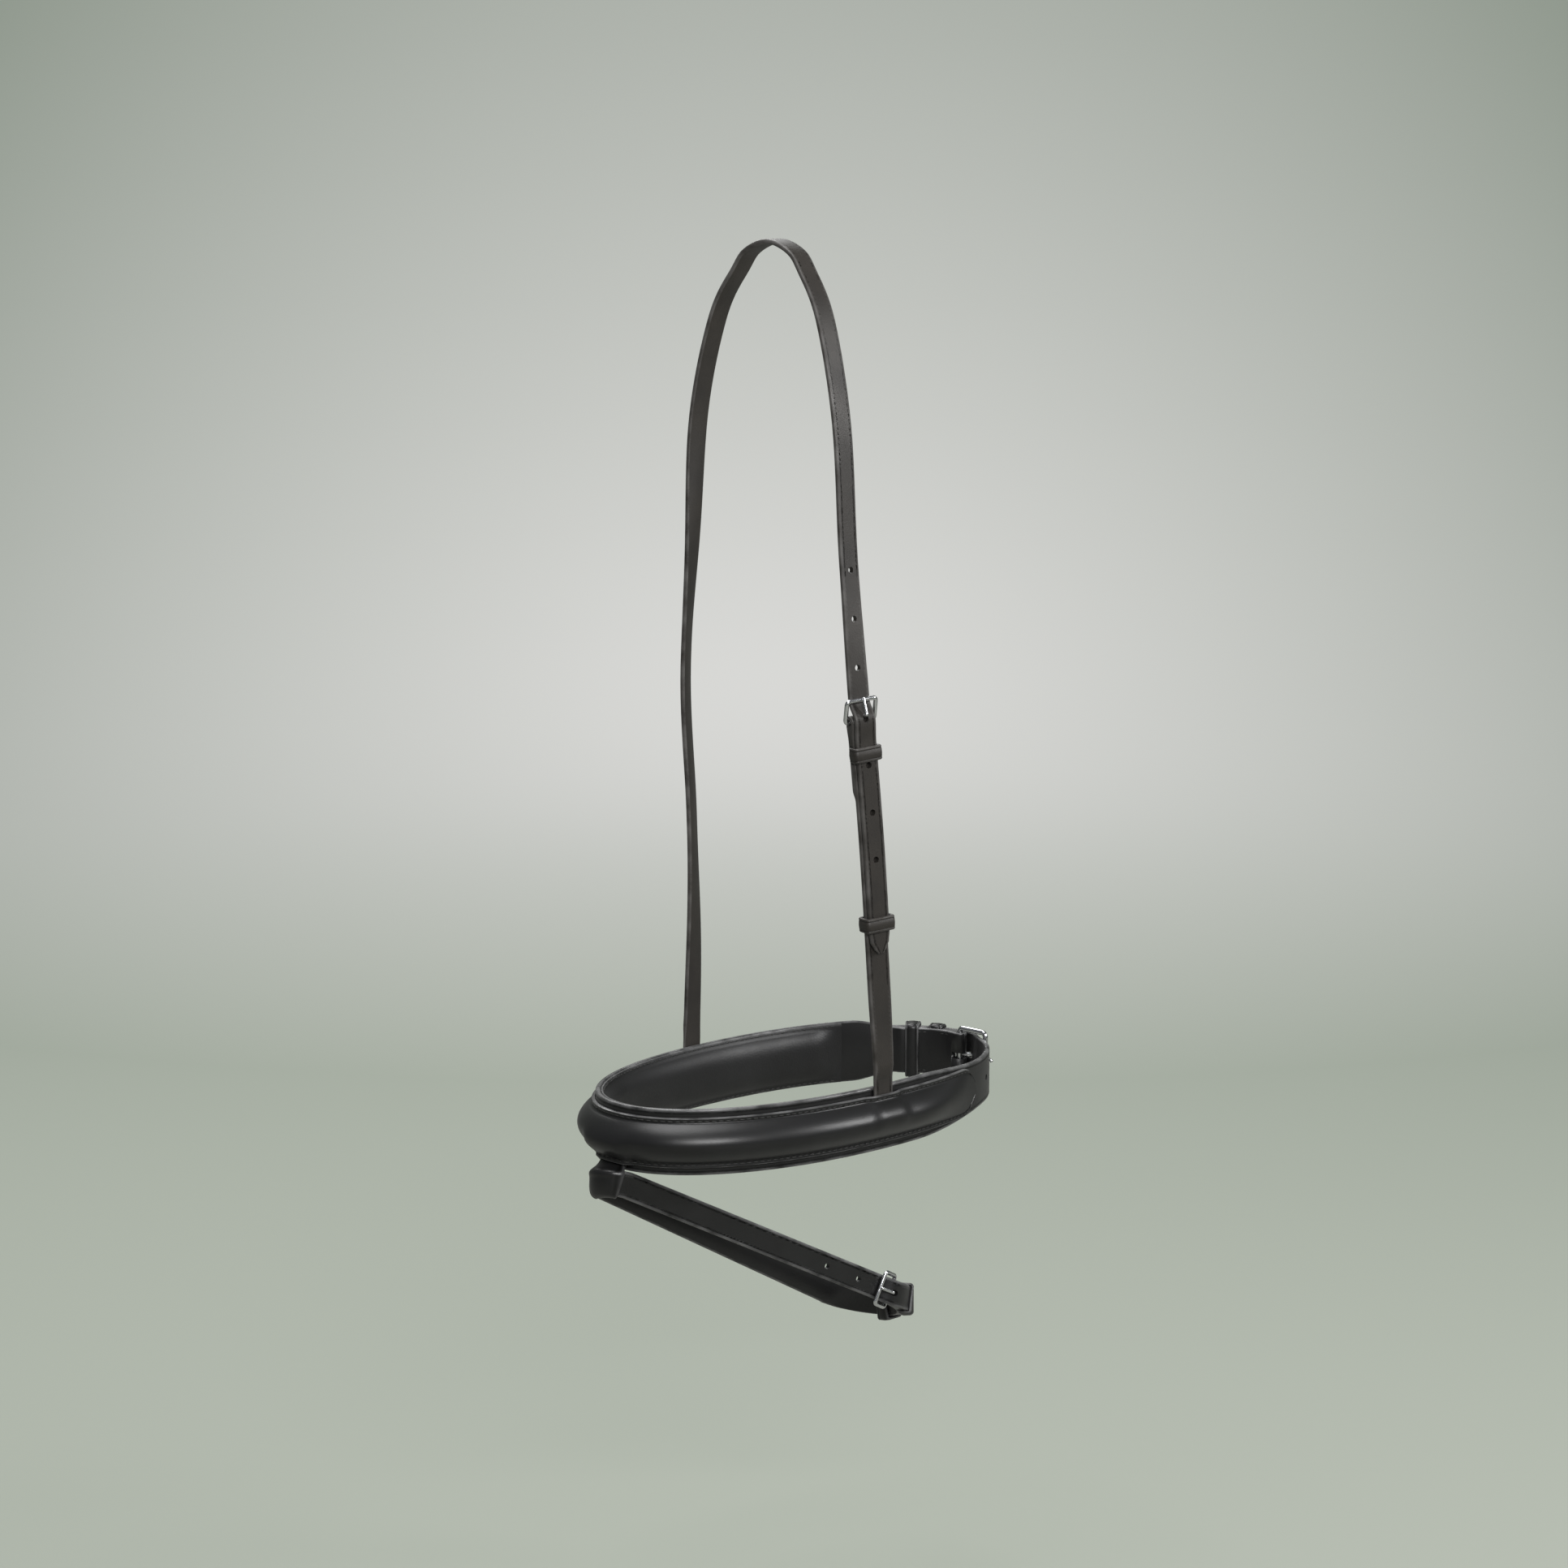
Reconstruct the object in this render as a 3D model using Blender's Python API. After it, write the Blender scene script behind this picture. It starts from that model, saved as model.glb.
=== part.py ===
"""A flash noseband: a padded noseband on a head strap, with a flash strap hung from its front.

Metres, +Z up. The origin is under the crown of the head strap, where the horse's poll carries it.
The nose points to -Y and the horse's near (left) side is +X.
"""

import math

import bmesh
import bpy
from mathutils import Matrix, Vector

# Clearances and edges
GAP = 0.0003
SLIDE_GAP = 0.0007
OVERRUN = 0.002
EDGE = 0.0005

# The oval that the inner face of the noseband's base strap follows
RING_LENGTH = 0.2560
RING_WIDTH = 0.1320
RING_POWER = 2.12
RING_FORWARD = 0.0177

# Base strap of the noseband, its raised cover with a core, and its padded lining
BASE_HEIGHT = 0.0352
BASE_THICKNESS = 0.0028
JAW_HEIGHT = 0.0265
JAW_TAPER_START = 0.182
JAW_TAPER_END = 0.256
FAR_TAPER_START = 0.250
FAR_TAPER_END = 0.276
JAW_BILLET_LENGTH = 0.074
COVER_HEIGHT = 0.0268
COVER_THICKNESS = 0.0017
COVER_RISE = 0.0078
COVER_REACH = 0.236
COVER_END_FADE = 0.062
COVER_END_ROUND = 0.014
CORE_REACH = 0.186
LINING_THICKNESS = 0.0012
LINING_MARGIN = 0.0005
LINING_NEAR_REACH = 0.218
LINING_FAR_REACH = 0.243
PAD_THICKNESS = 0.0042
PAD_END_FADE = 0.020

# Head strap and cheek strap
CROWN_HEIGHT = 0.4596
HEAD_WIDTH = 0.0125
HEAD_THICKNESS = 0.0026
CHEEK_WIDTH = 0.0134
CHEEK_THICKNESS = 0.0030
NEAR_SEAT = 0.1535
FAR_SEAT = 0.1430
STRAP_END_THICKNESS = 0.0016
STRAP_END_DEPTH = 0.0092
SKIVE_LENGTH = 0.012
CHEEK_LENGTH = 0.2070
HEAD_BILLET_LENGTH = 0.124
HEAD_SWAY = 0.0120

# Flash strap and the tab that carries it
FLASH_LENGTH = 0.2370
FLASH_FRONT_RADIUS = 0.0085
FLASH_REAR_RADIUS = 0.0220
FLASH_FORWARD = 0.1204
FLASH_ASIDE = -0.0020
FLASH_DROP = 0.0234
FLASH_SLOPE = math.radians(28.0)
FLASH_ROLL = math.radians(13.0)
FLASH_LEAN = math.radians(-0.6)
FLASH_STRAP_HEIGHT = 0.0140
FLASH_THICKNESS = 0.0026
FLASH_BUCKLE_PLACE = 0.2183
FLASH_BILLET_LENGTH = 0.082
TAB_WIDTH = 0.0175
TAB_PLY = 0.0012
TAB_FOOT_RISE = 0.0034

# Buckles: wire of the frames, reach from bar to bar, tongues, folds and holes
WIRE = 0.0024
BUCKLE_SPAN = 0.0115
TONGUE = 0.0020
JAW_WIRE = 0.0030
JAW_BUCKLE_SPAN = 0.0180
JAW_TONGUE = 0.0024
BUCKLE_SIDE_GAP = 0.0010
PLY = 0.0020
FOLD_THICKNESS = 0.0050
FOLD_LENGTH = 0.036
FOLD_EASE = 0.011
HOLE_DIAMETER = 0.0034
HOLE_PITCH = 0.0254
TIP_LENGTH = 0.011

# Keepers that are sewn in, and loose runners
KEEPER_WIDTH = 0.0080
KEEPER_WALL = 0.0015
KEEPER_PLACE = 0.0168
HEAD_RUNNER_PLACE = 0.1083
JAW_RUNNER_PLACE = 0.0300
FLASH_RUNNER_PLACE = 0.0370

# Spacing of the stations that the straps are built from, and the most that they turn between two
STRAP_STEP = 0.0140
STRAP_BEND = math.radians(7.5)
FINE_STEP = 0.0035
WALK_STEP = 0.0010

# Hand-chosen shares: (height, half span, sway, pull of the seat) of the head strap, from the noseband up
HEAD_ROUTE_SHARES = (
    (0.09, 1.00, 0.68, 0.75), (0.20, 0.99, 0.52, 0.35), (0.33, 0.98, 0.26, 0.10), (0.485, 0.955, -0.20, 0.0),
    (0.65, 0.85, -0.32, 0.0), (0.80, 0.775, -0.32, 0.0), (0.915, 0.575, -0.18, 0.0), (0.970, 0.345, -0.03, 0.0),
    (0.990, 0.22, -0.01, 0.0))
NEAR_TWIST_SHARES = ((0.40, 0.0), (0.55, 12.0), (0.86, 12.0))
FAR_TWIST_SHARES = ((0.25, 0.0), (0.50, -30.0), (0.72, -30.0), (0.93, -8.0))
SEAT_SHARE = 0.97
COVER_SHARES = ((-1.0, 0.0), (-0.76, 0.0), (-0.62, 0.42), (-0.36, 0.85), (0.0, 1.0),
                (0.36, 0.85), (0.62, 0.42), (0.76, 0.0), (1.0, 0.0))
CORE_SHARES = ((-0.56, 0.51), (-0.32, 0.86), (0.0, 1.0), (0.32, 0.86), (0.56, 0.51))
LINING_SHARES = ((-1.0, 0.0), (-0.84, 0.0), (-0.66, 0.72), (-0.25, 1.0), (0.25, 1.0), (0.66, 0.72),
                 (0.84, 0.0), (1.0, 0.0))
PAD_SHARES = ((-0.62, 0.80), (-0.25, 1.0), (0.25, 1.0), (0.62, 0.80))
TIP_SHARES = ((0.0, 1.0), (0.45, 0.89), (0.8, 0.60), (1.0, 0.30))
NEAR_SHARE = 0.45
LANDING_SHARE = 0.97
CREST_SHARE = 0.10
ELBOW_SHARE = 0.32
TONGUE_TIP_SHARE = 1.14
HOLE_NEAR_SHARE = 0.10
HOLE_FAR_SHARE = 0.36
SLOT_SHARE = 0.90

HEAD_HOLES = (-3, -2, -1, 1, 2, 3)
JAW_HOLES = (-3, -2, -1, 1, 2)
FLASH_HOLES = (-2, -1, 2)


# Small helpers

def eased(table, place):
    """Value at a place of a table of (place, value) rows, eased from row to row."""
    if place <= table[0][0]:
        return table[0][1]
    for (start, low), (end, high) in zip(table, table[1:]):
        if place <= end:
            part = (place - start) / (end - start)
            return low + (high - low) * part * part * (3.0 - 2.0 * part)
    return table[-1][1]


def even_lengths(start, end, step):
    """Even lengths from start to end, no further apart than the step."""
    count = max(1, math.ceil((end - start) / step))
    return [start + (end - start) * index / count for index in range(count + 1)]


def stations(route, start, end, marks=()):
    """Lengths along a route from start to end, closer where it bends, with the marked lengths put in."""
    walk = even_lengths(start, end, WALK_STEP)
    free = []
    spent = 0.0
    for before, here in zip(walk, walk[1:]):
        bend = route.axes(before)[1].angle(route.axes(here)[1])
        spent += max((here - before) / STRAP_STEP, bend / STRAP_BEND)
        if spent >= 1.0:
            free.append(here)
            spent = 0.0
    fixed = [start, end] + [mark for mark in marks if start < mark < end]
    kept = [place for place in free if all(abs(place - mark) > FINE_STEP * NEAR_SHARE for mark in fixed)]
    return sorted(fixed + kept)


def smooth_points(knots, steps):
    """Points of a smooth curve through the knots."""
    padded = [2.0 * knots[0] - knots[1]] + knots + [2.0 * knots[-1] - knots[-2]]
    points = []
    for first, second, third, fourth in zip(padded, padded[1:], padded[2:], padded[3:]):
        for index in range(steps):
            part = index / steps
            bend = (first * -1.0 + second * 3.0 - third * 3.0 + fourth) * part ** 3
            bend += (first * 2.0 - second * 5.0 + third * 4.0 - fourth) * part ** 2
            bend += (third - first) * part
            points.append(second + bend * 0.5)
    return points + [knots[-1]]


def oval_point(turn, length, width, power):
    """A point of a rounded oval, from its front (turn 0) round by its near side."""
    along = -math.cos(turn)
    aside = math.sin(turn)
    along = math.copysign(abs(along) ** (2.0 / power), along) * length / 2
    aside = math.copysign(abs(aside) ** (2.0 / power), aside) * width / 2
    return along, aside


def loop_side(length, front, rear):
    """The near side of a line round a small front circle and a large rear one, as (along, aside) points."""
    turn = math.acos((rear - front) / (length - front - rear))
    side = []
    for index in range(13):
        part = turn * index / 12
        side.append((front - front * math.cos(part), front * math.sin(part)))
    for index in range(17):
        part = turn + (math.pi - turn) * index / 16
        side.append((length - rear - rear * math.cos(part), rear * math.sin(part)))
    return side


class Route:
    """A line through space that straps lie along.

    A place beside it is given by the length along it, how far out from it and how far across it.
    """

    def __init__(self, points, across, closed=False, zero=0):
        self.points = points
        self.across = across
        self.closed = closed
        ends = points[1:] + points[:1] if closed else points[1:]
        runs = [(end - start).length for start, end in zip(points, ends)]
        self.marks = [0.0]
        for run in runs:
            self.marks.append(self.marks[-1] + run)
        self.total = self.marks[-1]
        self.zero = self.marks[zero]

    def heading(self, index):
        """Direction of the line at one of its points."""
        last = len(self.points) - 1
        if self.closed:
            before = self.points[(index - 1) % (last + 1)]
            after = self.points[(index + 1) % (last + 1)]
        else:
            before = self.points[max(index - 1, 0)]
            after = self.points[min(index + 1, last)]
        return (after - before).normalized()

    def axes(self, length):
        """Point of the line, and the directions along, out and across, at a length."""
        place = length + self.zero
        if self.closed:
            place = place % self.total
        index = 0
        while index < len(self.marks) - 2 and self.marks[index + 1] < place:
            index += 1
        part = (place - self.marks[index]) / (self.marks[index + 1] - self.marks[index])
        following = (index + 1) % len(self.points)
        point = self.points[index].lerp(self.points[following], part)
        along = self.heading(index).lerp(self.heading(following), min(max(part, 0.0), 1.0)).normalized()
        across = self.across(length)
        across = (across - along * across.dot(along)).normalized()
        return point, along, along.cross(across), across

    def at(self, length, out=0.0, up=0.0):
        """A place beside the line."""
        point, along, outward, across = self.axes(length)
        return point + outward * out + across * up


def make_paint(name, colour, roughness, metallic=0.0):
    """A plain material."""
    paint = bpy.data.materials.new(name)
    paint.use_nodes = True
    shader = paint.node_tree.nodes["Principled BSDF"]
    shader.inputs["Base Color"].default_value = (*colour, 1.0)
    shader.inputs["Roughness"].default_value = roughness
    shader.inputs["Metallic"].default_value = metallic
    return paint


def make_object(name, mesh_work, paint, matrix=None):
    """Turn a bmesh into a named object with its faces pointing out."""
    bmesh.ops.recalc_face_normals(mesh_work, faces=mesh_work.faces)
    mesh = bpy.data.meshes.new(name)
    mesh_work.to_mesh(mesh)
    mesh_work.free()
    thing = bpy.data.objects.new(name, mesh)
    if paint:
        mesh.materials.append(paint)
    if matrix:
        thing.matrix_world = matrix
    bpy.context.scene.collection.objects.link(thing)
    return thing


def add_skin(mesh_work, rings, looped=False):
    """Skin rows of points that have the same count, and close the two ends unless looped."""
    rows = [[mesh_work.verts.new(point) for point in ring] for ring in rings]
    pairs = list(zip(rows, rows[1:]))
    if looped:
        pairs.append((rows[-1], rows[0]))
    for first, second in pairs:
        for index in range(len(first)):
            after = (index + 1) % len(first)
            mesh_work.faces.new((first[index], first[after], second[after], second[index]))
    if not looped:
        mesh_work.faces.new(rows[0])
        mesh_work.faces.new(rows[-1])


def make_swept(name, route, sections, paint):
    """A solid swept along a route. A section is a length and its outline of (out, up) points."""
    mesh_work = bmesh.new()
    add_skin(mesh_work, [[route.at(length, out, up) for out, up in outline] for length, outline in sections])
    return make_object(name, mesh_work, paint)


def strap_outline(inner, outer, half, edge=EDGE):
    """Section of a flat strap with its four long edges taken off."""
    return [(inner, edge - half), (inner, half - edge), (inner + edge, half), (outer - edge, half),
            (outer, half - edge), (outer, edge - half), (outer - edge, -half), (inner + edge, -half)]


def box_outline(inner, outer, half):
    """Plain rectangular section."""
    return [(inner, -half), (inner, half), (outer, half), (outer, -half)]


def cut(target, cutter, operation="DIFFERENCE"):
    """Apply a hidden shape to a piece as a Boolean modifier."""
    cutter.hide_render = True
    cutter.display_type = "WIRE"
    modifier = target.modifiers.new(cutter.name, "BOOLEAN")
    modifier.operation = operation
    modifier.solver = "EXACT"
    modifier.object = cutter


# Fastenings: a folded strap end that holds a buckle, and the strap with holes that goes through it

class Fastening:
    """Places in a buckled joint, as lengths from the buckle's bar and out from the route."""

    def __init__(self, route, bar_place, width, strap_thickness, billet_thickness, wire, span, tongue):
        self.route = route
        self.bar_place = bar_place
        self.width = width
        self.strap_thickness = strap_thickness
        self.billet_thickness = billet_thickness
        self.wire = wire
        self.span = span
        self.tongue = tongue
        self.bore = wire / 2 + GAP
        self.eye = self.bore + PLY
        self.fold = FOLD_THICKNESS / 2
        self.bar_out = strap_thickness - self.fold
        self.end_out = billet_thickness + GAP + wire / 2

    def chape(self, along):
        """Inner and outer face of the folded end."""
        if along < 0:
            half = math.sqrt(self.eye ** 2 - along ** 2)
            return self.bar_out - half, self.bar_out + half
        half = eased(((0.0, self.eye), (FOLD_EASE, self.fold)), along)
        inner = eased(((FOLD_LENGTH, -half), (FOLD_LENGTH + SKIVE_LENGTH / 2, half - self.strap_thickness)), along)
        return self.bar_out + inner, self.bar_out + half

    def billet(self, along):
        """Inner and outer face of the strap with holes, which climbs over the fold."""
        rows = ((-LANDING_SHARE * self.span, 0.0),
                (-CREST_SHARE * self.span, self.bar_out + self.eye + GAP),
                (0.0, self.bar_out + self.eye + GAP),
                (FOLD_EASE, self.bar_out + self.fold + GAP))
        inner = eased(rows, along)
        return inner, inner + self.billet_thickness

    def eye_marks(self):
        """Lengths of the stations round the eye."""
        turns = [math.radians(angle) for angle in (14.0, 36.0, 62.0, 90.0)]
        eye = [-self.eye * math.cos(turn) for turn in turns]
        return eye + [FOLD_EASE * share for share in (0.3, 0.6, 1.0)]

    def billet_marks(self):
        """Lengths of the stations where the strap climbs over the fold."""
        low = -LANDING_SHARE * self.span
        high = -CREST_SHARE * self.span
        climb = [low + (high - low) * share for share in (0.0, 0.2, 0.4, 0.6, 0.8, 1.0)]
        return climb + [FOLD_EASE * share for share in (0.3, 0.6, 1.0)]

    def frame_matrix(self):
        """Axes of the buckle: across the strap, towards the end bar, and out."""
        bar = self.route.at(self.bar_place, self.bar_out)
        end = self.route.at(self.bar_place - self.span, self.end_out)
        across = self.route.axes(self.bar_place)[3]
        reach = end - bar
        ahead = (reach - across * reach.dot(across)).normalized()
        matrix = Matrix((across, ahead, across.cross(ahead))).transposed().to_4x4()
        matrix.translation = bar
        return matrix, reach.length


def add_hole(mesh_work, route, place, low, high, radius, stretch):
    """A round or stretched punch through a strap, its sides square to the strap."""
    rings = []
    for out in (low, high):
        ring = []
        for index in range(12):
            turn = math.tau * (index + 0.5) / 12
            shift = math.copysign(stretch, math.cos(turn))
            ring.append(route.at(place, out, radius * math.sin(turn))
                        + route.axes(place)[1] * (radius * math.cos(turn) + shift))
        rings.append(ring)
    add_skin(mesh_work, rings)


def punch_strap(strap, fastening, places):
    """Cut the tongue's stretched hole and the round holes into a strap."""
    mesh_work = bmesh.new()
    route = fastening.route
    near = -HOLE_NEAR_SHARE * fastening.span
    far = -HOLE_FAR_SHARE * fastening.span
    low = fastening.billet(far)[0]
    high = fastening.billet(near)[1]
    place = fastening.bar_place + (near + far) / 2
    radius = fastening.tongue / 2 + 2 * GAP
    add_hole(mesh_work, route, place, low - 2 * GAP, high + OVERRUN, radius, (near - far) / 2 - radius + GAP)
    for index in places:
        low, high = fastening.billet((near + far) / 2 + index * HOLE_PITCH)
        add_hole(mesh_work, route, place + index * HOLE_PITCH, low - 3 * GAP / 4, high + OVERRUN,
                 HOLE_DIAMETER / 2, 0.0)
    cut(strap, make_object(strap.name + "_punches", mesh_work, None))


def cut_chape(strap, fastening, keeper_place):
    """Bore the fold for the buckle's bar, slot it for the tongue and slit it for the keeper."""
    name = strap.name
    route = fastening.route
    matrix = fastening.frame_matrix()[0]
    mesh_work = bmesh.new()
    half = fastening.width / 2 + OVERRUN
    turns = [math.tau * (index + 0.5) / 16 for index in range(16)]
    rings = [[matrix @ Vector((side, fastening.bore * math.cos(turn), fastening.bore * math.sin(turn)))
              for turn in turns] for side in (-half, half)]
    add_skin(mesh_work, rings)
    cut(strap, make_object(name + "_bore", mesh_work, None))
    slot = box_outline(fastening.bar_out - fastening.eye - OVERRUN, fastening.bar_out + fastening.eye + GAP / 2,
                       fastening.tongue / 2 + 2 * GAP)
    ends = (fastening.bar_place - fastening.eye - OVERRUN, fastening.bar_place + fastening.eye * SLOT_SHARE)
    cut(strap, make_swept(name + "_slot", route, [(end, slot) for end in ends], None))
    slit = box_outline(fastening.bar_out - KEEPER_WALL / 2 - GAP, fastening.bar_out + KEEPER_WALL / 2 + GAP, half)
    margin = KEEPER_WIDTH / 2 + GAP
    ends = (keeper_place - margin, keeper_place, keeper_place + margin)
    cut(strap, make_swept(name + "_slit", route, [(end, slit) for end in ends], None))


def make_buckle(prefix, fastening, metal):
    """Frame and tongue of a buckle, each with its origin on the bar's axis."""
    matrix, reach = fastening.frame_matrix()
    radius = fastening.wire / 2
    half = fastening.width / 2 + BUCKLE_SIDE_GAP + radius
    bend = 1.6 * radius
    corners = ((half - bend, bend, -90.0), (half - bend, reach - bend, 0.0),
               (bend - half, reach - bend, 90.0), (bend - half, bend, 180.0))
    path = []
    for aside, ahead, start in corners:
        for step in range(4):
            turn = math.radians(start + 30.0 * step)
            outward = Vector((math.cos(turn), math.sin(turn), 0.0))
            path.append((Vector((aside, ahead, 0.0)) + outward * bend, outward))
    rings = []
    for centre, outward in path:
        ring = []
        for index in range(8):
            turn = math.tau * (index + 0.5) / 8
            ring.append(centre + outward * radius * math.cos(turn) + Vector((0.0, 0.0, radius * math.sin(turn))))
        rings.append(ring)
    mesh_work = bmesh.new()
    add_skin(mesh_work, rings, looped=True)
    frame = make_object(prefix + "_buckle_frame", mesh_work, metal, matrix)
    frame.data.shade_smooth()
    return frame, make_tongue(prefix, fastening, matrix, metal)


def make_tongue(prefix, fastening, matrix, metal):
    """A tongue coiled on the buckle's bar, humped over the strap and resting on the end bar."""
    thick = fastening.tongue
    crest = fastening.bar_out + fastening.eye + 2 * GAP + fastening.billet_thickness + thick / 8
    rest = fastening.end_out + fastening.wire / 2 + GAP + thick / 2
    places = ((-fastening.bore, fastening.bar_out + fastening.bore),
              (-ELBOW_SHARE * fastening.span, crest),
              (-(ELBOW_SHARE + CREST_SHARE) * fastening.span, crest + thick / 8),
              (-fastening.span, rest), (-TONGUE_TIP_SHARE * fastening.span, rest - thick / 8))
    inverse = matrix.inverted()
    spine = [inverse @ fastening.route.at(fastening.bar_place + along, out) for along, out in places]
    mesh_work = bmesh.new()
    rings = []
    for index, centre in enumerate(spine):
        ahead = (spine[min(index + 1, len(spine) - 1)] - spine[max(index - 1, 0)]).normalized()
        side = Vector((1.0, 0.0, 0.0))
        rise = side.cross(ahead)
        size = thick / 2 * (0.7 if index == len(spine) - 1 else 1.0)
        rings.append([centre + side * size * math.cos(math.tau * (step + 0.5) / 8)
                      + rise * size * math.sin(math.tau * (step + 0.5) / 8) for step in range(8)])
    add_skin(mesh_work, rings)
    tongue = make_object(prefix + "_buckle_tongue", mesh_work, metal, matrix)
    collar = fastening.bore + thick / 2
    for suffix, radius, half, operation in (("_collar", collar, thick / 2, "UNION"),
                                            ("_bore", fastening.bore, thick, "DIFFERENCE")):
        mesh_work = bmesh.new()
        turns = [math.tau * (index + 0.5) / 16 for index in range(16)]
        add_skin(mesh_work, [[Vector((end, radius * math.cos(turn), radius * math.sin(turn))) for turn in turns]
                             for end in (-half, half)])
        cut(tongue, make_object(tongue.name + suffix, mesh_work, None, matrix), operation)
    tongue.data.shade_smooth()
    return tongue


def loop_outline(low, high, half, bend):
    """A rectangle of (out, up) points with rounded corners."""
    corners = ((high - bend, half - bend, 0.0), (low + bend, half - bend, 90.0),
               (low + bend, bend - half, 180.0), (high - bend, bend - half, 270.0))
    outline = []
    for out, up, start in corners:
        for step in range(3):
            turn = math.radians(start + 45.0 * step)
            outline.append((out + bend * math.cos(turn), up + bend * math.sin(turn)))
    return outline


def make_loop(name, route, places, low, high, half, wall, paint):
    """A leather loop round straps. Low, high and half bound the opening inside it."""
    inside = loop_outline(low, high, half, wall / 3)
    outside = loop_outline(low - wall, high + wall, half + wall, wall)
    mesh_work = bmesh.new()
    rings = [[route.at(place, out, up) for out, up in outside] for place in places]
    rings += [[route.at(place, out, up) for out, up in inside] for place in reversed(places)]
    add_skin(mesh_work, rings, looped=True)
    return make_object(name, mesh_work, paint)


def make_keeper(prefix, fastening, leather):
    """A keeper sewn into the fold: it passes between the plies and round the strap with holes."""
    place = fastening.bar_place + KEEPER_PLACE
    low = fastening.bar_out + KEEPER_WALL / 2
    high = fastening.billet(FOLD_EASE)[1] + GAP
    places = (place - KEEPER_WIDTH / 2, place, place + KEEPER_WIDTH / 2)
    half = fastening.width / 2 + GAP
    return make_loop(prefix + "_keeper", fastening.route, places, low, high, half, KEEPER_WALL, leather)


def make_runner(prefix, fastening, along, leather):
    """A loose runner round both straps."""
    place = fastening.bar_place + along
    low = fastening.chape(along)[0] - SLIDE_GAP
    high = fastening.billet(along)[1] + SLIDE_GAP
    places = (place - KEEPER_WIDTH / 2, place, place + KEEPER_WIDTH / 2)
    half = fastening.width / 2 + SLIDE_GAP
    return make_loop(prefix + "_runner", fastening.route, places, low, high, half, KEEPER_WALL, leather)


def tip_half(half, left):
    """Half width of a strap's rounded tip, from the length that is left to its end."""
    if left >= TIP_LENGTH:
        return half
    return half * eased(TIP_SHARES, 1.0 - left / TIP_LENGTH)


# Routes

def noseband_route():
    """The oval of the noseband, from the middle of the nose round by the near side."""
    points = []
    for index in range(120):
        along, aside = oval_point(math.tau * index / 120, RING_LENGTH, RING_WIDTH, RING_POWER)
        points.append(Vector((aside, RING_FORWARD + along, -CROWN_HEIGHT)))
    return Route(points, lambda length: Vector((0.0, 0.0, 1.0)), closed=True)


def flash_route():
    """The sloping loop of the flash strap, from its tab round by the near side."""
    down = Matrix.Rotation(-FLASH_SLOPE, 3, "X")
    roll = Matrix.Rotation(-FLASH_ROLL, 3, "Y")
    front = Vector((FLASH_ASIDE, -FLASH_FORWARD, -CROWN_HEIGHT - FLASH_DROP))
    near = loop_side(FLASH_LENGTH, FLASH_FRONT_RADIUS, FLASH_REAR_RADIUS)
    far = [(along, -aside) for along, aside in reversed(near[1:-1])]
    points = [front + down @ (roll @ Vector((aside, along, 0.0))) for along, aside in near + far]
    lean = Vector((0.0, math.sin(FLASH_LEAN), math.cos(FLASH_LEAN)))
    return Route(points, lambda length: lean, closed=True)


def head_limb(seat):
    """Points of one side of the head strap, from its seat on the noseband up to the crown."""
    limb = []
    for up in (BASE_HEIGHT / 2 - SKIVE_LENGTH, BASE_HEIGHT / 2):
        limb.append(Vector((seat.x, seat.y, up - CROWN_HEIGHT)))
    for height, span, sway, pull in HEAD_ROUTE_SHARES:
        place = HEAD_SWAY * sway * (1.0 - pull) + seat.y * pull
        limb.append(Vector((seat.x * span, place, (height - 1.0) * CROWN_HEIGHT)))
    return limb


def seat_twist(heading):
    """Turn of the strap, in degrees, that lays it flat on the noseband at its seat."""
    return math.degrees(math.atan2(heading.x, heading.y))


def head_route(noseband):
    """The arch of the head strap, its inner face, from the far side over the crown to the near side."""
    far = head_limb(noseband.at(-FAR_SEAT, BASE_THICKNESS + GAP))
    near = head_limb(noseband.at(NEAR_SEAT, BASE_THICKNESS + GAP))
    steps = 8
    points = smooth_points(far + [Vector((0.0, 0.0, 0.0))] + list(reversed(near)), steps)
    half = sum((end - start).length for start, end in zip(points, points[1:])) / 2
    near_twists = NEAR_TWIST_SHARES + ((SEAT_SHARE, seat_twist(noseband.axes(NEAR_SEAT)[1])),)
    far_twists = FAR_TWIST_SHARES + ((SEAT_SHARE, seat_twist(-noseband.axes(-FAR_SEAT)[1])),)

    def across(length):
        twist = math.radians(eased(near_twists if length > 0 else far_twists, abs(length) / half))
        return Vector((math.sin(twist), math.cos(twist), 0.0))

    return Route(points, across, zero=steps * len(far))


# Noseband

def base_half(length, lap):
    """Half height of the base strap: tall at the nose, lower at the jaw."""
    start = JAW_TAPER_START if length > 0 else FAR_TAPER_START
    end = JAW_TAPER_END if length > 0 else FAR_TAPER_END
    return eased(((start, BASE_HEIGHT / 2), (end, JAW_HEIGHT / 2)), min(abs(length), lap / 2))


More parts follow.
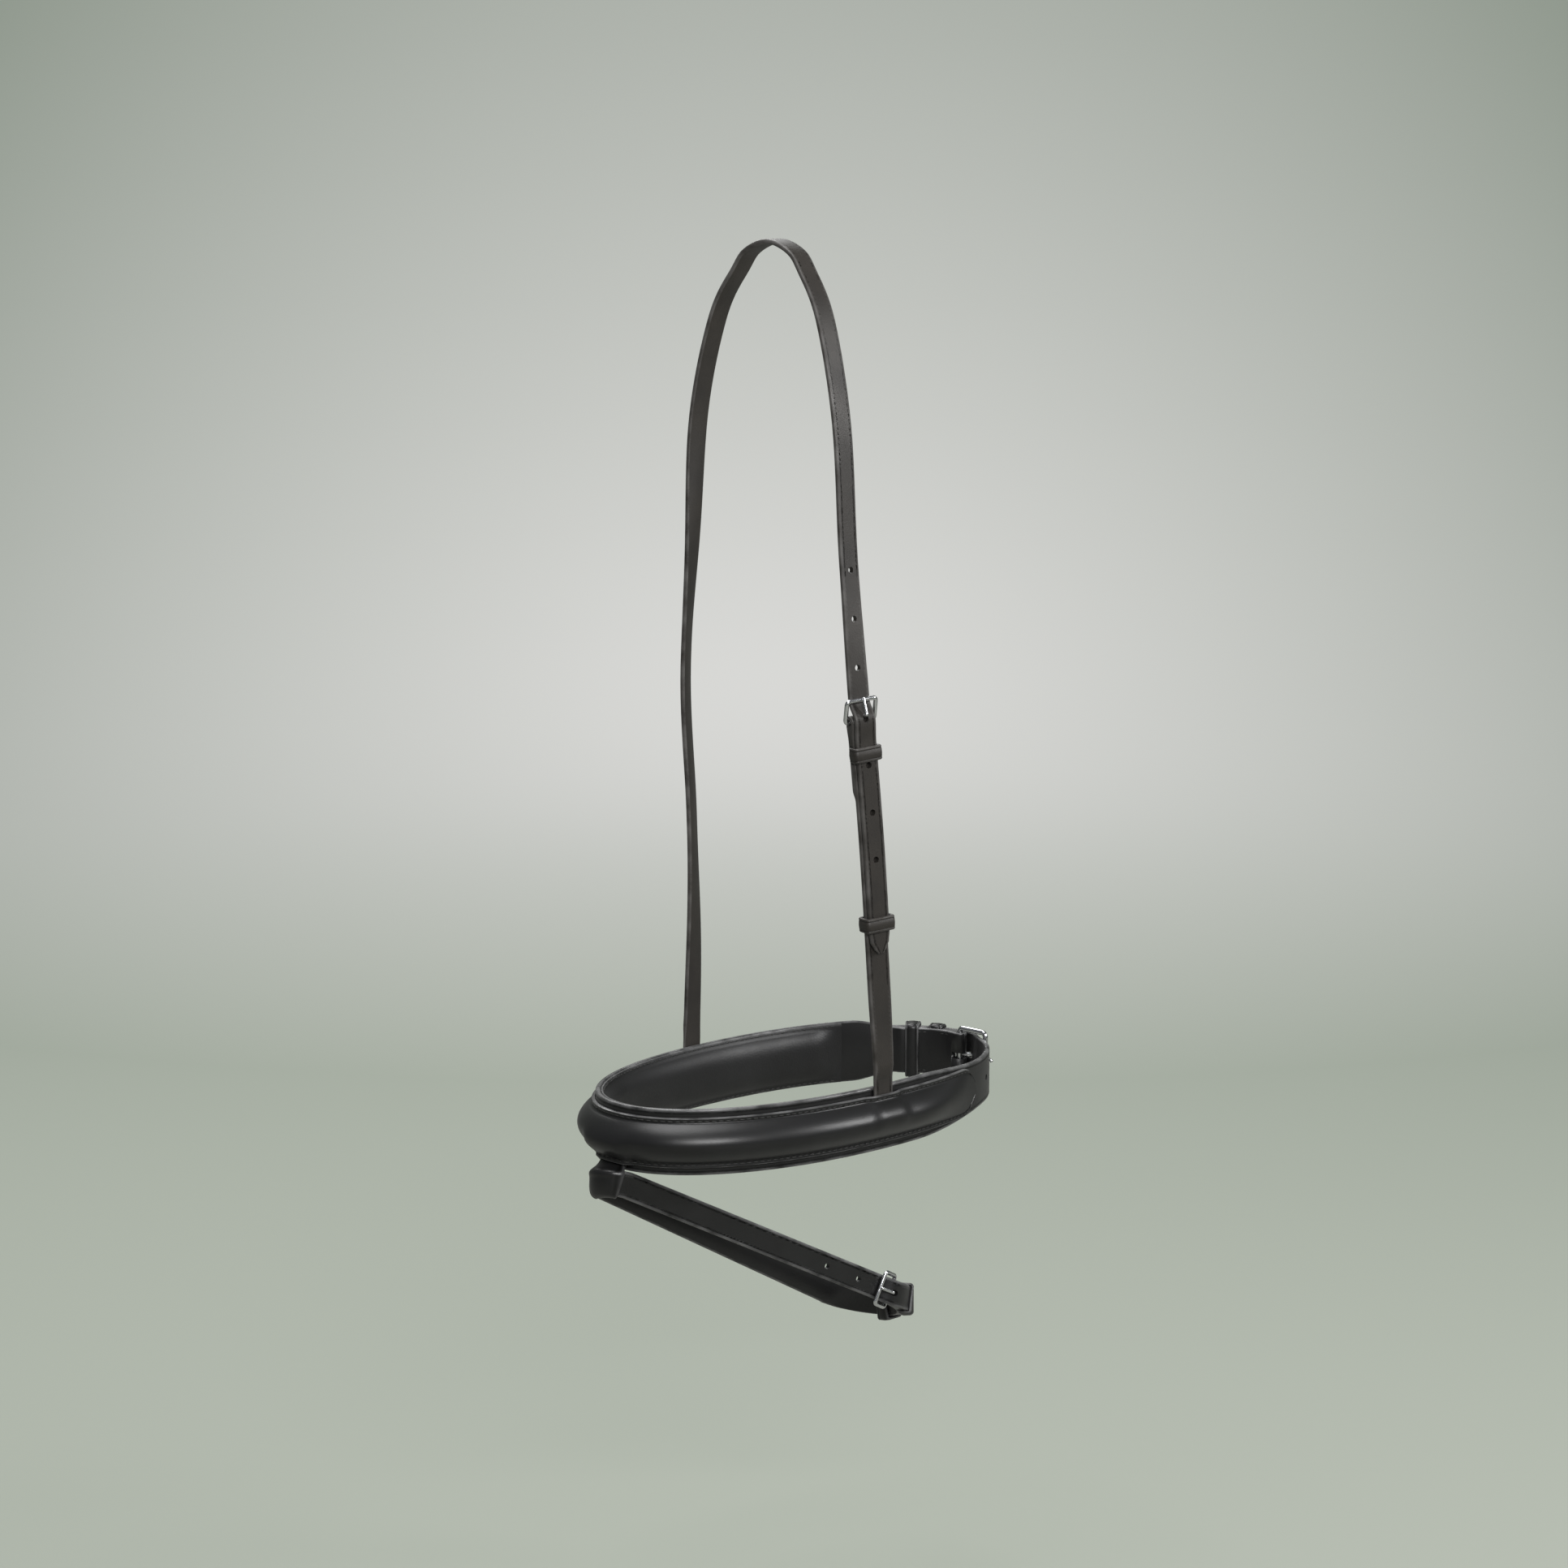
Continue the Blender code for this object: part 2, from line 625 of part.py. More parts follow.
def make_belt(name, fastening, lap, billet_length, half_at, leather, marks):
    """A strap from its buckle fold, once round its route and through the buckle again."""
    start = fastening.bar_place - fastening.eye * math.cos(math.radians(14.0))
    end = fastening.bar_place + lap + billet_length
    near = [fastening.bar_place + along for along in fastening.eye_marks()]
    near += [fastening.bar_place + FOLD_LENGTH, fastening.bar_place + FOLD_LENGTH + SKIVE_LENGTH / 2]
    far = [fastening.bar_place + lap + along for along in fastening.billet_marks()]
    tip = [end - TIP_LENGTH * (1.0 - share) for share, half in TIP_SHARES]
    sections = []
    for place in stations(fastening.route, start, end, near + far + tip + marks):
        along = place - fastening.bar_place
        if along < lap / 2:
            inner, outer = fastening.chape(along)
        else:
            inner, outer = fastening.billet(along - lap)
        half = tip_half(half_at(place), end - place)
        sections.append((place, strap_outline(inner, outer, half)))
    return make_swept(name, fastening.route, sections, leather)


def cover_half(length):
    """Half height of the cover, rounded off at its two ends."""
    past = abs(length) - (COVER_REACH - COVER_END_ROUND)
    if past <= 0:
        return COVER_HEIGHT / 2
    return COVER_HEIGHT / 2 * math.sqrt(max(1.0 - (past / COVER_END_ROUND) ** 2, 0.1))


def cover_rise(length):
    """How far the cover stands up over its core, fading out towards its ends."""
    return COVER_RISE * eased(((COVER_REACH - COVER_END_FADE, 1.0), (COVER_REACH, 0.0)), abs(length))


def cover_lifts(length):
    """How far the cover's lower and upper edges ride over the tab root and the strap ends."""
    cheek = STRAP_END_THICKNESS + GAP
    tab = 2 * TAB_PLY + GAP
    beside = CHEEK_WIDTH / 2 + 2 * EDGE
    seat = NEAR_SEAT if length > 0 else -FAR_SEAT
    upper = eased(((beside, cheek), (beside + SKIVE_LENGTH / 2, 0.0)), abs(length - seat))
    beside = TAB_WIDTH / 2 + EDGE
    lower = eased(((beside, tab), (beside + SKIVE_LENGTH / 2, 0.0)), abs(length - FLASH_ASIDE))
    return lower, upper


def cover_face(length, share, rise_share):
    """The cover's outer face at a share of its half height."""
    lower, upper = cover_lifts(length)
    lift = eased(((CORE_SHARES[0][0], lower), (CORE_SHARES[-1][0], upper)), share)
    return BASE_THICKNESS + GAP + lift + COVER_THICKNESS + cover_rise(length) * rise_share


def cover_places(noseband):
    """Lengths of the stations of the cover and its core."""
    marks = [side * (COVER_REACH - COVER_END_ROUND * share) for side in (-1, 1) for share in (0.1, 0.4, 1.0)]
    for seat, half in ((NEAR_SEAT, CHEEK_WIDTH / 2 + 2 * EDGE), (-FAR_SEAT, CHEEK_WIDTH / 2 + 2 * EDGE),
                       (FLASH_ASIDE, TAB_WIDTH / 2 + EDGE)):
        for reach in (half, half + SKIVE_LENGTH / 2):
            marks += [seat - reach, seat + reach]
    marks += [-CORE_REACH, CORE_REACH]
    return stations(noseband, -COVER_REACH, COVER_REACH, marks)


def make_cover(noseband, leather):
    """The raised cover of the nosepiece: a domed shell with flat sewn edges."""
    sections = []
    for place in cover_places(noseband):
        half = cover_half(place)
        outer = [(cover_face(place, share, rise), half * share) for share, rise in COVER_SHARES]
        inner = [(out - COVER_THICKNESS, up) for out, up in reversed(outer)]
        sections.append((place, outer + inner))
    return make_swept("noseband_cover", noseband, sections, leather)


def make_core(noseband, felt):
    """The core that gives the cover its dome."""
    sections = []
    for place in cover_places(noseband):
        if abs(place) > CORE_REACH:
            continue
        lower, upper = cover_lifts(place)
        seat = BASE_THICKNESS + GAP + max(lower, upper)
        half = COVER_HEIGHT / 2
        top = [(cover_face(place, share, rise) - COVER_THICKNESS - 2 * GAP, half * share)
               for share, rise in CORE_SHARES]
        top = [(max(out, seat + 2 * GAP), up) for out, up in top]
        sections.append((place, top + [(seat, top[-1][1]), (seat, top[0][1])]))
    return make_swept("noseband_core", noseband, sections, felt)


def pad_fade(length):
    """Thickness of the padding along the lining, fading out at its two ends."""
    far = eased(((-LINING_FAR_REACH, 0.0), (PAD_END_FADE - LINING_FAR_REACH, 1.0)), length)
    near = eased(((LINING_NEAR_REACH - PAD_END_FADE, 1.0), (LINING_NEAR_REACH, 0.0)), length)
    return PAD_THICKNESS * far * near


def make_lining(noseband, leather, foam):
    """The soft lining inside the noseband, and the foam that it wraps."""
    lap = noseband.total
    foam_ends = [PAD_END_FADE - LINING_FAR_REACH, LINING_NEAR_REACH - PAD_END_FADE]
    middle = [-TAB_WIDTH / 4, TAB_WIDTH / 4]
    places = stations(noseband, -LINING_FAR_REACH, LINING_NEAR_REACH, foam_ends + middle)
    sections = []
    for place in places:
        half = base_half(place, lap) - LINING_MARGIN
        outer = [(-GAP - pad_fade(place) * rise, half * share) for share, rise in LINING_SHARES]
        inner = [(out - LINING_THICKNESS, up) for out, up in reversed(outer)]
        sections.append((place, outer + inner))
    make_swept("noseband_lining", noseband, sections, leather)
    sections = []
    for place in places:
        if place < foam_ends[0] or place > foam_ends[1]:
            continue
        half = base_half(place, lap) - LINING_MARGIN
        inner = [(-pad_fade(place) * rise, half * share) for share, rise in PAD_SHARES]
        sections.append((place, inner + [(-GAP, inner[-1][1]), (-GAP, inner[0][1])]))
    make_swept("noseband_padding", noseband, sections, foam)


def make_noseband(noseband, leather, soft_leather, felt, foam, metal):
    """Base strap, cover, core, lining, padding and the jaw fastening."""
    lap = noseband.total
    fastening = Fastening(noseband, -lap / 2 + EDGE, JAW_HEIGHT, BASE_THICKNESS, BASE_THICKNESS,
                          JAW_WIRE, JAW_BUCKLE_SPAN, JAW_TONGUE)
    lapped = Fastening(noseband, fastening.bar_place + lap, JAW_HEIGHT, BASE_THICKNESS, BASE_THICKNESS,
                       JAW_WIRE, JAW_BUCKLE_SPAN, JAW_TONGUE)
    base = make_belt("noseband_base", fastening, lap, JAW_BILLET_LENGTH,
                     lambda length: base_half(length, lap), leather, [-TAB_WIDTH / 4, TAB_WIDTH / 4])
    punch_strap(base, lapped, JAW_HOLES)
    cut_chape(base, fastening, fastening.bar_place + KEEPER_PLACE)
    make_buckle("jaw", fastening, metal)
    make_keeper("jaw", fastening, leather)
    make_runner("jaw", fastening, JAW_RUNNER_PLACE, leather)
    make_cover(noseband, leather)
    make_core(noseband, felt)
    make_lining(noseband, soft_leather, foam)


# Head strap and cheek strap

def make_head(route, leather, metal):
    """The strap over the crown, the cheek strap and the fastening between them."""
    end = route.total - route.zero - SKIVE_LENGTH + STRAP_END_DEPTH
    start = -route.zero + SKIVE_LENGTH - STRAP_END_DEPTH
    fastening = Fastening(route, end - CHEEK_LENGTH, CHEEK_WIDTH, CHEEK_THICKNESS, HEAD_THICKNESS,
                          WIRE, BUCKLE_SPAN, TONGUE)
    sections = []
    near = [fastening.bar_place + along for along in fastening.eye_marks()]
    near += [fastening.bar_place + FOLD_LENGTH, fastening.bar_place + FOLD_LENGTH + SKIVE_LENGTH / 2]
    seat = end - STRAP_END_DEPTH
    near += [seat - SKIVE_LENGTH, seat - SKIVE_LENGTH / 2, seat]
    first = fastening.bar_place - fastening.eye * math.cos(math.radians(14.0))
    for place in stations(route, first, end, near):
        inner, outer = fastening.chape(place - fastening.bar_place)
        skived = ((seat - SKIVE_LENGTH, outer), (seat - SKIVE_LENGTH / 4, STRAP_END_THICKNESS))
        outer = eased(skived, place)
        inner = eased(((seat - SKIVE_LENGTH, inner), (seat - SKIVE_LENGTH / 4, 0.0)), place)
        sections.append((place, strap_outline(inner, outer, CHEEK_WIDTH / 2)))
    cheek = make_swept("cheek_strap", route, sections, leather)
    cut_chape(cheek, fastening, fastening.bar_place + KEEPER_PLACE)

    tip = fastening.bar_place + HEAD_BILLET_LENGTH
    marks = [fastening.bar_place + along for along in fastening.billet_marks()]
    marks += [tip - TIP_LENGTH * (1.0 - share) for share, half in TIP_SHARES]
    marks += [start + STRAP_END_DEPTH, start + STRAP_END_DEPTH + SKIVE_LENGTH / 2]
    marks += [start + STRAP_END_DEPTH + SKIVE_LENGTH, -FINE_STEP / 2, FINE_STEP / 2]
    sections = []
    for place in stations(route, start, tip, marks):
        inner, outer = fastening.billet(place - fastening.bar_place)
        seat = start + STRAP_END_DEPTH
        outer = eased(((seat + SKIVE_LENGTH / 4, STRAP_END_THICKNESS), (seat + SKIVE_LENGTH, outer)), place)
        sections.append((place, strap_outline(inner, outer, tip_half(HEAD_WIDTH / 2, tip - place))))
    head = make_swept("headpiece_strap", route, sections, leather)
    punch_strap(head, fastening, HEAD_HOLES)
    make_buckle("head", fastening, metal)
    make_keeper("head", fastening, leather)
    make_runner("head", fastening, HEAD_RUNNER_PLACE, leather)


# Flash strap

def make_flash(noseband, route, leather, metal):
    """The tab under the noseband's front, and the flash strap that goes through it."""
    lap = route.total
    half = FLASH_STRAP_HEIGHT / 2
    fastening = Fastening(route, FLASH_BUCKLE_PLACE, FLASH_STRAP_HEIGHT, FLASH_THICKNESS, FLASH_THICKNESS,
                          WIRE, BUCKLE_SPAN, TONGUE)
    lapped = Fastening(route, FLASH_BUCKLE_PLACE + lap, FLASH_STRAP_HEIGHT, FLASH_THICKNESS, FLASH_THICKNESS,
                       WIRE, BUCKLE_SPAN, TONGUE)
    bends = even_lengths(lap - TAB_WIDTH / 2, lap + TAB_WIDTH / 2, TAB_WIDTH / 12)
    strap = make_belt("flash_strap", fastening, lap, FLASH_BILLET_LENGTH, lambda length: half, leather, bends)
    punch_strap(strap, lapped, FLASH_HOLES)
    cut_chape(strap, fastening, fastening.bar_place + KEEPER_PLACE)
    make_buckle("flash", fastening, metal)
    make_keeper("flash", fastening, leather)
    make_runner("flash", fastening, FLASH_RUNNER_PLACE, leather)

    make_tab(noseband, route, half, leather)


def make_tab(noseband, route, half, leather):
    """The tab: a root sewn under the cover's edge, and a loop round the flash strap that swings below it."""
    top = -COVER_HEIGHT / 2 * CORE_SHARES[0][0] + EDGE
    foot = BASE_HEIGHT / 2 - TAB_FOOT_RISE
    root_out = BASE_THICKNESS + GAP
    outline = [(root_out, -top), (root_out + 2 * TAB_PLY, -top), (root_out + 2 * TAB_PLY, -foot), (root_out, -foot)]
    ends = even_lengths(FLASH_ASIDE - TAB_WIDTH / 2, FLASH_ASIDE + TAB_WIDTH / 2, TAB_WIDTH / 4)
    make_swept("flash_tab_root", noseband, [(end, outline) for end in ends], leather)
    places = even_lengths(-TAB_WIDTH / 2, TAB_WIDTH / 2, TAB_WIDTH / 12)
    make_loop("flash_tab_loop", route, places, -GAP, FLASH_THICKNESS + GAP, half + GAP, TAB_PLY, leather)


def main():
    for thing in list(bpy.data.objects):
        bpy.data.objects.remove(thing, do_unlink=True)
    leather = make_paint("black_leather", (0.016, 0.016, 0.017), 0.42)
    strap_leather = make_paint("charcoal_leather", (0.035, 0.033, 0.030), 0.50)
    soft_leather = make_paint("soft_lining_leather", (0.020, 0.020, 0.021), 0.58)
    felt = make_paint("core_felt", (0.10, 0.10, 0.10), 0.95)
    foam = make_paint("lining_foam", (0.16, 0.16, 0.15), 0.95)
    metal = make_paint("stainless_steel", (0.72, 0.73, 0.75), 0.18, 1.0)
    noseband = noseband_route()
    make_noseband(noseband, leather, soft_leather, felt, foam, metal)
    make_head(head_route(noseband), strap_leather, metal)
    make_flash(noseband, flash_route(), leather, metal)


main()
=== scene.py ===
"""Flash noseband in leather, thread and steel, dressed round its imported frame."""

import copy
from math import acos, atan2, ceil, copysign, cos, degrees, exp, pi, radians, sin, sqrt, tau

import bpy
from mathutils import Matrix, Vector


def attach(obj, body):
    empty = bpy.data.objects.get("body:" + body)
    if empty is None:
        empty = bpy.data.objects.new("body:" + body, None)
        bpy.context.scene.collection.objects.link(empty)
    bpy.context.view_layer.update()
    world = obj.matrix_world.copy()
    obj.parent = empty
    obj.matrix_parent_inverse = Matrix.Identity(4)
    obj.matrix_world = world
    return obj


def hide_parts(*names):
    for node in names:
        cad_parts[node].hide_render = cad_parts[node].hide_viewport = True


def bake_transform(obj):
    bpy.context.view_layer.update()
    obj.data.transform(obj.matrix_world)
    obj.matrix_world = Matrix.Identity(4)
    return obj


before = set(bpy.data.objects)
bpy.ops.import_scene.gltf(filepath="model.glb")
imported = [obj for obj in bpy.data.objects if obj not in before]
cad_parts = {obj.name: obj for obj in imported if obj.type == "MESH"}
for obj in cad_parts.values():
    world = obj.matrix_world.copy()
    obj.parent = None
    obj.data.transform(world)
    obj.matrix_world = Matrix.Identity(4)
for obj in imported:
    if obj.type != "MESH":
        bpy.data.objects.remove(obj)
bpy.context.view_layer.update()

bl_info = {
    "name": "Flash Noseband",
    "version": (1, 0, 0),
    "blender": (4, 5, 0),
    "location": "View3D > Sidebar > Noseband",
    "description": "Builds the leather, thread and steel of a flash noseband round its frame",
    "category": "Add Mesh",
}

# Clearances, as in the frame
GAP = 0.0003
SLIDE_GAP = 0.0007
OVERRUN = 0.002

# Oval of the noseband
RING_LENGTH = 0.2560
RING_WIDTH = 0.1320
RING_POWER = 2.12
RING_FORWARD = 0.0177

# Base strap, cover, core and lining
BASE_HEIGHT = 0.0352
BASE_THICKNESS = 0.0028
JAW_HEIGHT = 0.0265
JAW_TAPER_START = 0.182
JAW_TAPER_END = 0.256
FAR_TAPER_START = 0.250
FAR_TAPER_END = 0.276
JAW_BILLET_LENGTH = 0.074
COVER_HEIGHT = 0.0268
COVER_THICKNESS = 0.0017
COVER_RISE = 0.0078
COVER_REACH = 0.236
COVER_END_FADE = 0.062
COVER_END_ROUND = 0.014
CORE_REACH = 0.186
LINING_THICKNESS = 0.0012
LINING_MARGIN = 0.0005
LINING_NEAR_REACH = 0.218
LINING_FAR_REACH = 0.243
PAD_THICKNESS = 0.0042
PAD_END_FADE = 0.020

# Head strap and cheek strap
CROWN_HEIGHT = 0.4596
HEAD_WIDTH = 0.0125
HEAD_THICKNESS = 0.0026
CHEEK_WIDTH = 0.0134
CHEEK_THICKNESS = 0.0030
NEAR_SEAT = 0.1535
FAR_SEAT = 0.1430
STRAP_END_THICKNESS = 0.0016
STRAP_END_DEPTH = 0.0092
SKIVE_LENGTH = 0.012
CHEEK_LENGTH = 0.2070
HEAD_BILLET_LENGTH = 0.124
HEAD_SWAY = 0.0120

# Flash strap and its tab
FLASH_LENGTH = 0.2370
FLASH_FRONT_RADIUS = 0.0085
FLASH_REAR_RADIUS = 0.0220
FLASH_FORWARD = 0.1204
FLASH_ASIDE = -0.0020
FLASH_DROP = 0.0234
FLASH_SLOPE = radians(28.0)
FLASH_ROLL = radians(13.0)
FLASH_LEAN = radians(-0.6)
FLASH_STRAP_HEIGHT = 0.0140
FLASH_THICKNESS = 0.0026
FLASH_BUCKLE_PLACE = 0.2183
FLASH_BILLET_LENGTH = 0.082
TAB_WIDTH = 0.0175
TAB_PLY = 0.0012
TAB_FOOT_RISE = 0.0034

# Buckles, folds, holes, keepers and runners
WIRE = 0.0024
BUCKLE_SPAN = 0.0115
TONGUE = 0.0020
JAW_WIRE = 0.0030
JAW_BUCKLE_SPAN = 0.0180
JAW_TONGUE = 0.0024
BUCKLE_SIDE_GAP = 0.0010
PLY = 0.0020
FOLD_THICKNESS = 0.0050
FOLD_LENGTH = 0.036
FOLD_EASE = 0.011
HOLE_DIAMETER = 0.0034
HOLE_PITCH = 0.0254
TIP_LENGTH = 0.011
KEEPER_WIDTH = 0.0080
KEEPER_WALL = 0.0015
KEEPER_PLACE = 0.0168
HEAD_RUNNER_PLACE = 0.1083
JAW_RUNNER_PLACE = 0.0300
FLASH_RUNNER_PLACE = 0.0370

# Shares, as in the frame
HEAD_ROUTE_SHARES = (
    (0.09, 1.00, 0.68, 0.75), (0.20, 0.99, 0.52, 0.35), (0.33, 0.98, 0.26, 0.10),
    (0.485, 0.955, -0.20, 0.0), (0.65, 0.85, -0.32, 0.0), (0.80, 0.775, -0.32, 0.0),
    (0.915, 0.575, -0.18, 0.0), (0.970, 0.345, -0.03, 0.0), (0.990, 0.22, -0.01, 0.0))
NEAR_TWIST_SHARES = ((0.40, 0.0), (0.55, 12.0), (0.86, 12.0))
FAR_TWIST_SHARES = ((0.25, 0.0), (0.50, -30.0), (0.72, -30.0), (0.93, -8.0))
SEAT_SHARE = 0.97
CORE_SHARES = ((-0.56, 0.51), (-0.32, 0.86), (0.0, 1.0), (0.32, 0.86), (0.56, 0.51))
TIP_SHARES = ((0.0, 1.0), (0.45, 0.89), (0.8, 0.60), (1.0, 0.30))
LANDING_SHARE = 0.97
CREST_SHARE = 0.10
ELBOW_SHARE = 0.32
TONGUE_TIP_SHARE = 1.14
HOLE_NEAR_SHARE = 0.10
HOLE_FAR_SHARE = 0.36
SLOT_SHARE = 0.90
SEAM_SHARE = 0.87
HEAD_HOLES = (-3, -2, -1, 1, 2, 3)
JAW_HOLES = (-3, -2, -1, 1, 2)
FLASH_HOLES = (-2, -1, 2)

# Details that the frame leaves out
CORNER_SHARE = 0.42
CORNER_TURN = 30.0
DOME_SHARE = 0.775
DOME_POWER = 0.82
SEAM_DIP = 0.00030
SEAM_DIP_SHARE = 0.833
SEAM_DIP_WIDTH = 0.035
COVER_COLUMNS = 36
LINING_COLUMNS = 28
CORE_COLUMNS = 14
PAD_SHARE = 0.86
PAD_POWER = 3.2
SEAM_INSET = 0.0021
SEAM_LIFT = 0.00005
COVER_SEAM_END = 0.0035
LINING_SEAM_END = 0.004
LINING_SEAM_SHARE = 0.925
FOLD_SEAM_START = 0.0065
RIM_BLUR = 0.0005
JAW_BAR_SHIFT = 0.0005
CHEEK_CLEAR = 0.001
TAB_CLEAR = 0.0005
TAB_TOP_CLEAR = 0.0005
TAB_BEND_START = 0.0012
TAB_BEND_END = 0.0022
TAB_RIM = 0.0007
# Tab rim's mark for polish and a painted highlight
TAB_RIM_POLISH_AND_HIGHLIGHT = 0.35
TAB_RIM_DIP = 0.35
TAB_SEAM_DIP = 0.30
TAB_CREASE = 0.0004
COVER_END_BLUNT = 0.1
# Where the cover's seam groove is given painted shade
COVER_CREASE_START = 0.82
COVER_CREASE_END = 0.85
LINING_RIM_DRAW = 0.4
LINING_SWELL = 0.98
FOAM_SWELL = 0.90
FOAM_FULL = 0.98
FOAM_SKIP = 6
RIPPLE_DEPTH = 0.05
RIPPLE_FINE = 61.0
RIPPLE_BROAD = 23.0
RIPPLE_ACROSS = 2.0
LOOP_BEND = 1.2
LOOP_BEND_SHARE = 0.45
WIRE_BEND = 1.6
END_BAR_START = 0.8
END_BAR_PRESS = 0.90
COIL_TURNS = (-150.0, -195.0, -240.0, -285.0)
HOLE_SIDES = 20
BORE_SIDES = 32
THREAD_FLATNESS = 0.8

# Spacing of the close rows
EYE_STEP = 0.0011
SKIVE_STEP = 0.0010
CLIMB_STEP = 0.0009
TIP_STEP = 0.0007
SEAT_STEP = 0.0016
TAB_STEP = 0.0006

# Outline tables and the marks of their points: edge marks give polish and a painted highlight, crease marks
# painted shade
LOOP_BAND = (
    (-1.0, 0.35), (-0.95, 0.76), (-0.84, 0.98), (-0.70, 1.0), (-0.63, 0.86), (-0.55, 1.02), (0.0, 1.12),
    (0.55, 1.02), (0.63, 0.86), (0.70, 1.0), (0.84, 0.98), (0.95, 0.76), (1.0, 0.35),
    (0.92, 0.0), (0.0, 0.0), (-0.92, 0.0))
LOOP_MARKS = {
    "edge": [1.0, 1.0, 0.4] + [0.0] * 7 + [0.4, 1.0, 1.0, 0.6, 0.0, 0.6],
    "crease": [0.0] * 4 + [1.0] + [0.0] * 3 + [1.0] + [0.0] * 7,
}
STRAP_MARKS = {
    "edge": [0.1] + [0.0] * 5 + [0.1, 0.6] + [1.0] * 6 + [0.0, 0.0, 0.0] + [1.0] * 6 + [0.6],
    "crease": [0.0, 1.0, 0.0, 0.0, 0.0, 1.0, 0.0] + [0.0] * 17,
}
TONGUE_WIDTHS = ((0.0, 0.5), (0.45, 0.5), (0.75, 0.46), (0.97, 0.40), (1.0, 0.22))
TONGUE_HEIGHTS = ((0.0, 0.22), (0.45, 0.25), (0.62, 0.42), (0.97, 0.40), (1.0, 0.20))

# Stage: the floor, its curve up to the backdrop, and the lamps as (name, turn, rise, width, height, power)
FLOOR_NEAR = -9.0
FLOOR_HEIGHT = -0.76
FLOOR_WIDTH = 16.0
CURVE_START = 2.6
CURVE_HEIGHT = 0.64
CURVE_RADIUS = 1.4
WALL_TOP = 7.0
# Painted pool of light on the backdrop: where it is brightest and how far it fades
PAINTED_POOL_PLACE = 3.0
PAINTED_POOL_HEIGHT = -0.45
PAINTED_POOL_REACH = 1.8
SKY_LIGHT = (0.150, 0.155, 0.160, 1.0)
SKY_SEEN = (0.360, 0.375, 0.350, 1.0)
LAMP_HEIGHT = -0.40
LAMP_REACH = 1.9
LAMPS = (("front_window", 12.0, 27.0, 0.85, 0.60, 22.0), ("side_window", 80.0, 24.0, 0.30, 0.70, 15.0),
         ("rear_softbox", -165.0, 42.0, 1.20, 0.80, 14.0), ("top_softbox", -60.0, 82.0, 1.10, 1.10, 22.0))

# Camera that took the view of the photograph
CAMERA_PLACE = Vector((1.4603, -1.3848, 0.0529))
CAMERA_RIGHT = Vector((0.6900, 0.7238, 0.0))
CAMERA_AHEAD = Vector((-0.7137, 0.6804, -0.16625))
CAMERA_LENS = 87.58
SENSOR = 36.0
CLIP_NEAR = 0.05
CLIP_FAR = 50.0
UP = Vector((0.0, 0.0, 1.0))


# What a user would change

def length_prop(name, description, default):
    """A length property in metres."""
    return bpy.props.FloatProperty(name=name, description=description, default=default, min=0.0,
                                   unit="LENGTH", subtype="DISTANCE", precision=5)


def colour_prop(name, description, default):
    """A colour property."""
    return bpy.props.FloatVectorProperty(name=name, description=description, default=default,
                                         size=3, min=0.0, max=1.0, subtype="COLOR")


class NosebandSizes(bpy.types.PropertyGroup):
    """Sizes of the leatherwork's details."""

    step: length_prop("Row spacing", "Length between two rows of a strap's mesh", 0.0026)
    edge_round: length_prop("Edge rounding", "Radius of a strap's burnished edges", 0.0010)
    crease_inset: length_prop("Crease inset", "How far the creased line is from a strap's edge", 0.0020)
    crease_depth: length_prop("Crease depth", "Depth of the creased line", 0.00022)
    stitch_pitch: length_prop("Stitch pitch", "Length from one stitch to the next", 0.0036)
    stitch_length: length_prop("Stitch length", "Length of one stitch", 0.0027)
    thread: length_prop("Thread", "Thickness of the sewing thread", 0.0007)
    tab_bulge: length_prop("Tab bulge", "How far the tab's front stands off the flash strap", 0.0013)


class NosebandColours(bpy.types.PropertyGroup):
    """Colours of the leather, thread, steel and stage."""

    black: colour_prop("Black leather", "Noseband and flash strap", (0.0085, 0.0085, 0.0088))
    charcoal: colour_prop("Charcoal leather", "Head strap and cheek strap", (0.0235, 0.0200, 0.0165))
    lining: colour_prop("Lining leather", "Soft leather inside the noseband", (0.0090, 0.0090, 0.0094))
    thread: colour_prop("Thread", "Waxed sewing thread", (0.016, 0.016, 0.015))
    steel: colour_prop("Steel", "Buckles", (0.80, 0.81, 0.83))
    backdrop: colour_prop("Backdrop", "Floor and backdrop", (0.215, 0.212, 0.195))
    # Painted pool of light on the backdrop, from its bright middle to its darker edge
    painted_light_pool: colour_prop("Glow", "Brightest part of the backdrop as the camera sees it", (0.69, 0.685, 0.675))
    painted_pool_falloff: colour_prop("Dusk", "Darkest part of the backdrop as the camera sees it", (0.20, 0.24, 0.195))


# Shapes in route coordinates

def eased(table, place):
    """Value at a place of a table of (place, value) rows, eased from row to row."""
    if place <= table[0][0]:
        return table[0][1]
    for (start, low), (end, high) in zip(table, table[1:]):
        if place <= end:
            part = (place - start) / (end - start)
            return low + (high - low) * part * part * (3.0 - 2.0 * part)
    return table[-1][1]


def evenly(start, end, count):
    """Values from start to end in a number of even steps."""
    return [start + (end - start) * index / count for index in range(count + 1)]


def even_lengths(start, end, step):
    """Even lengths from start to end, no further apart than the step."""
    return evenly(start, end, max(1, ceil((end - start) / step)))


def smooth_points(knots, steps):
    """Points of a smooth curve through the knots."""
    padded = [2.0 * knots[0] - knots[1]] + knots + [2.0 * knots[-1] - knots[-2]]
    points = []
    for first, second, third, fourth in zip(padded, padded[1:], padded[2:], padded[3:]):
        for index in range(steps):
            part = index / steps
            bend = (first * -1.0 + second * 3.0 - third * 3.0 + fourth) * part ** 3
            bend += (first * 2.0 - second * 5.0 + third * 4.0 - fourth) * part ** 2
            bend += (third - first) * part
            points.append(second + bend * 0.5)
    return points + [knots[-1]]


